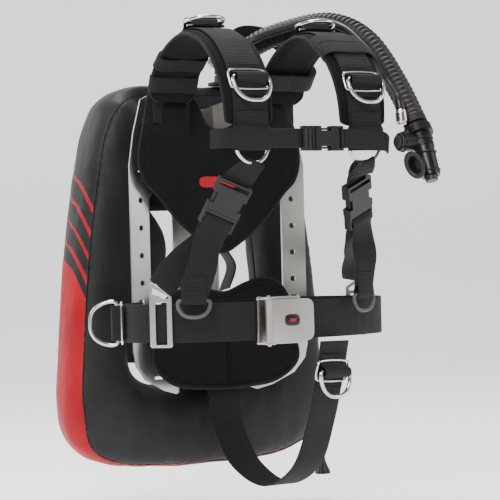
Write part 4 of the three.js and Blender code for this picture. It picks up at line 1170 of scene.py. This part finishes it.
# ---- tank bands ----
def tank_band(level, z):
    points = [vec(math.cos(q) * BAND_RADIUS, TANK_CENTRE + math.sin(q) * BAND_RADIUS, z)
              for q in (math.radians(a) for a in range(-66, 247, 12))]
    inside = CHANNEL_DEPTH - 3 - WEB_THICK / 2 - GAP * 2
    tank_face = CHANNEL_DEPTH + GAP + 4
    threaded = [(39, tank_face + 1), (40, inside + 3), (31, inside - 1), (19, inside)]
    points += [vec(-x, y, z) for x, y in threaded] + [vec(0, inside, z)]
    points += [vec(x, y, z) for x, y in reversed(threaded)]
    webbing(f"{level}_tank_web", stations(points, UPRIGHT, 260, True), WEBBING, cloth=WEB,
            nodes=f"tank_band_{level}", closed=True)
    if level == "upper":
        hang = [vec(x, TANK_CENTRE + y, h) for x, y, h in
                [(92.5, -19, 66), (93, -17, 30), (90, -14, 0), (107, -13, -32), (94, -15, -66)]]
        webbing("upper_tank_tail", stations(hang, [(0.2, 0.98, 0)], 60), 44, cloth=WEB)
    rounded(f"tank_buckle_{level}", 0.9, PLASTIC, f"tank_lever_{level}")


# ---- inflator ----
INFLATOR_BANDS = [
    ((136, -262, 128), (-1, 0, 0), 13.3), ((164, -266, 130), (0, -0.34, -0.94), 15.2),
    ((164, -275, 112), (0, -0.31, -0.95), 14), ((164, -283, 88), (0, -0.31, -0.95), 14),
]
MOUTHPIECE = [
    (0, 9, 9), (0.3, 9.5, 9.2), (0.6, 13, 9.8), (0.8, 18, 12.4), (0.9, 19, 13.2), (0.98, 19, 13.2),
    (1.02, 18, 12.4), (1.0, 13.5, 8.4), (0.9, 12, 7), (0.5, 9, 5.4), (0.3, 7, 4.6),
]


def inflator():
    rounded("inflator_body", 1.0, PLASTIC, segments=2)
    for move in ("inflate", "deflate"):
        rounded(f"{move}_button", 1.2, BUTTON, move)
    mouthpiece()
    for k, (spot, axis, r) in enumerate(INFLATOR_BANDS):
        around = unit(np.array(axis, float))
        side = vec(1, 0, 0) if abs(around[0]) < 0.5 else vec(0, 1, 0)
        other = np.cross(around, side)
        hoop = [np.array(spot) + (side * math.cos(q) + other * math.sin(q)) * (r - 0.7)
                for q in circle(60)]
        band = tube(f"inflator_band_{k}", hoop, 1.2, 12, True)
        finish_piece(band, PLASTIC)
    halo = sample([(130.6, -262 + 10.8 * math.cos(q), 128 + 10.8 * math.sin(q))
                   for q in circle(12)], 60, True)
    finish_piece(tube("inflate_button_ring", halo, 0.7, 10, True), GREY)
    rounded("hose_elbow", 1.4, RUBBER)
    rounded("dump_valve", 1.0, PLASTIC)


def mouthpiece():
    """An oval soft mouthpiece on a short neck."""
    start, lip = vec(147.5, -284, 98), vec(131.5, -294, 96)
    axis = unit(lip - start)
    lean = vec(0.45, -0.2, -0.87)
    tall = unit(lean - axis * lean.dot(axis))
    short = np.cross(axis, tall)
    length = float(np.linalg.norm(lip - start))
    rings = []
    for f, a, b in MOUTHPIECE:
        rings.append([start + axis * length * f + tall * a * math.cos(q) + short * b * math.sin(q)
                      for q in circle(48)])
    oval = loft("oval_mouthpiece", rings, angle=50)
    finish_piece(oval, RUBBER, nodes="inflator_mouthpiece")


def hose_retainer():
    centre = vec(SHOULDER_X, -44, 234)
    along = unit(vec(0, -0.63, 0.78))
    up = unit(vec(0, 0.78, 0.63))
    outline = [(0, -22), (34, -21), (46, -8), (47, 20), (42, 52), (32, 84), (8, 102), (-20, 103), (-44, 88),
               (-54, 60), (-48, 14), (-46, -8), (-34, -21)]
    ring = [centre + vec(u, 0, 0) + up * v for u, v in outline]
    webbing("hose_retaining_band", stations(ring, [along], 180, True), 26, cloth=WEB, nodes="hose_retainer",
            closed=True)


# ---- studio ----
SWEEP = [(-7.0, 0), (4.4, 0), (5.2, 0.08), (5.8, 0.4), (6.1, 1.1), (6.2, 6.0)]
SWEEP_HALF_WIDTH = 8
# each light's name, place, size and power
LIGHTS = [
    ("key", (-1.9, -2.0, 1.7), 1.2, 95), ("fill", (2.2, -1.8, 0.9), 1.4, 30),
    ("top", (0.2, 0.4, 2.4), 1.2, 70), ("rim", (-1.8, 1.4, 1.2), 1.0, 30),
]


def studio():
    low = cad_box[0].z - 0.004
    smooth = sample([(y, 0, z) for y, z in SWEEP], 40)
    verts = [(x, p[0], low + p[2]) for p in smooth for x in (-SWEEP_HALF_WIDTH, SWEEP_HALF_WIDTH)]
    mesh = bpy.data.meshes.new("studio_sweep")
    mesh.from_pydata(verts, [], [(2 * i, 2 * i + 1, 2 * i + 3, 2 * i + 2) for i in range(len(smooth) - 1)])
    mesh.polygons.foreach_set("use_smooth", [True] * len(mesh.polygons))
    floor = linked("studio_sweep", mesh)
    paint = Nodes("pale_floor", (0.9, 0.9, 0.9), 0.95, Specular_IOR_Level=0.0, Emission_Strength=0.7).mat
    paint.node_tree.nodes["Principled BSDF"].inputs["Emission Color"].default_value = (1, 1, 1, 1)
    mesh.materials.append(paint)
    world = bpy.data.worlds.new("studio")
    world.use_nodes = True
    background = world.node_tree.nodes["Background"]
    background.inputs["Color"].default_value = (1, 1, 1, 1)
    background.inputs["Strength"].default_value = 0.45
    bpy.context.scene.world = world
    for name, spot, size, power in LIGHTS:
        data = bpy.data.lights.new(name, "AREA")
        data.size = size
        data.energy = power
        light = linked(name, data)
        light.location = spot
        light.rotation_euler = (Vector((0, -0.05, 0)) - Vector(spot)).to_track_quat("-Z", "Y").to_euler()


camera()
hoses()
dump_cord()
wing()
plate_pads()
rounded("backplate", 0.7, STEEL, segments=2)
for side in (-1, 1):
    adjuster(side, *shoulder(side))
chest_strap()
waist_belt()
crotch_strap()
tank_band("upper", 80)
tank_band("lower", -140)
inflator()
hose_retainer()
studio()
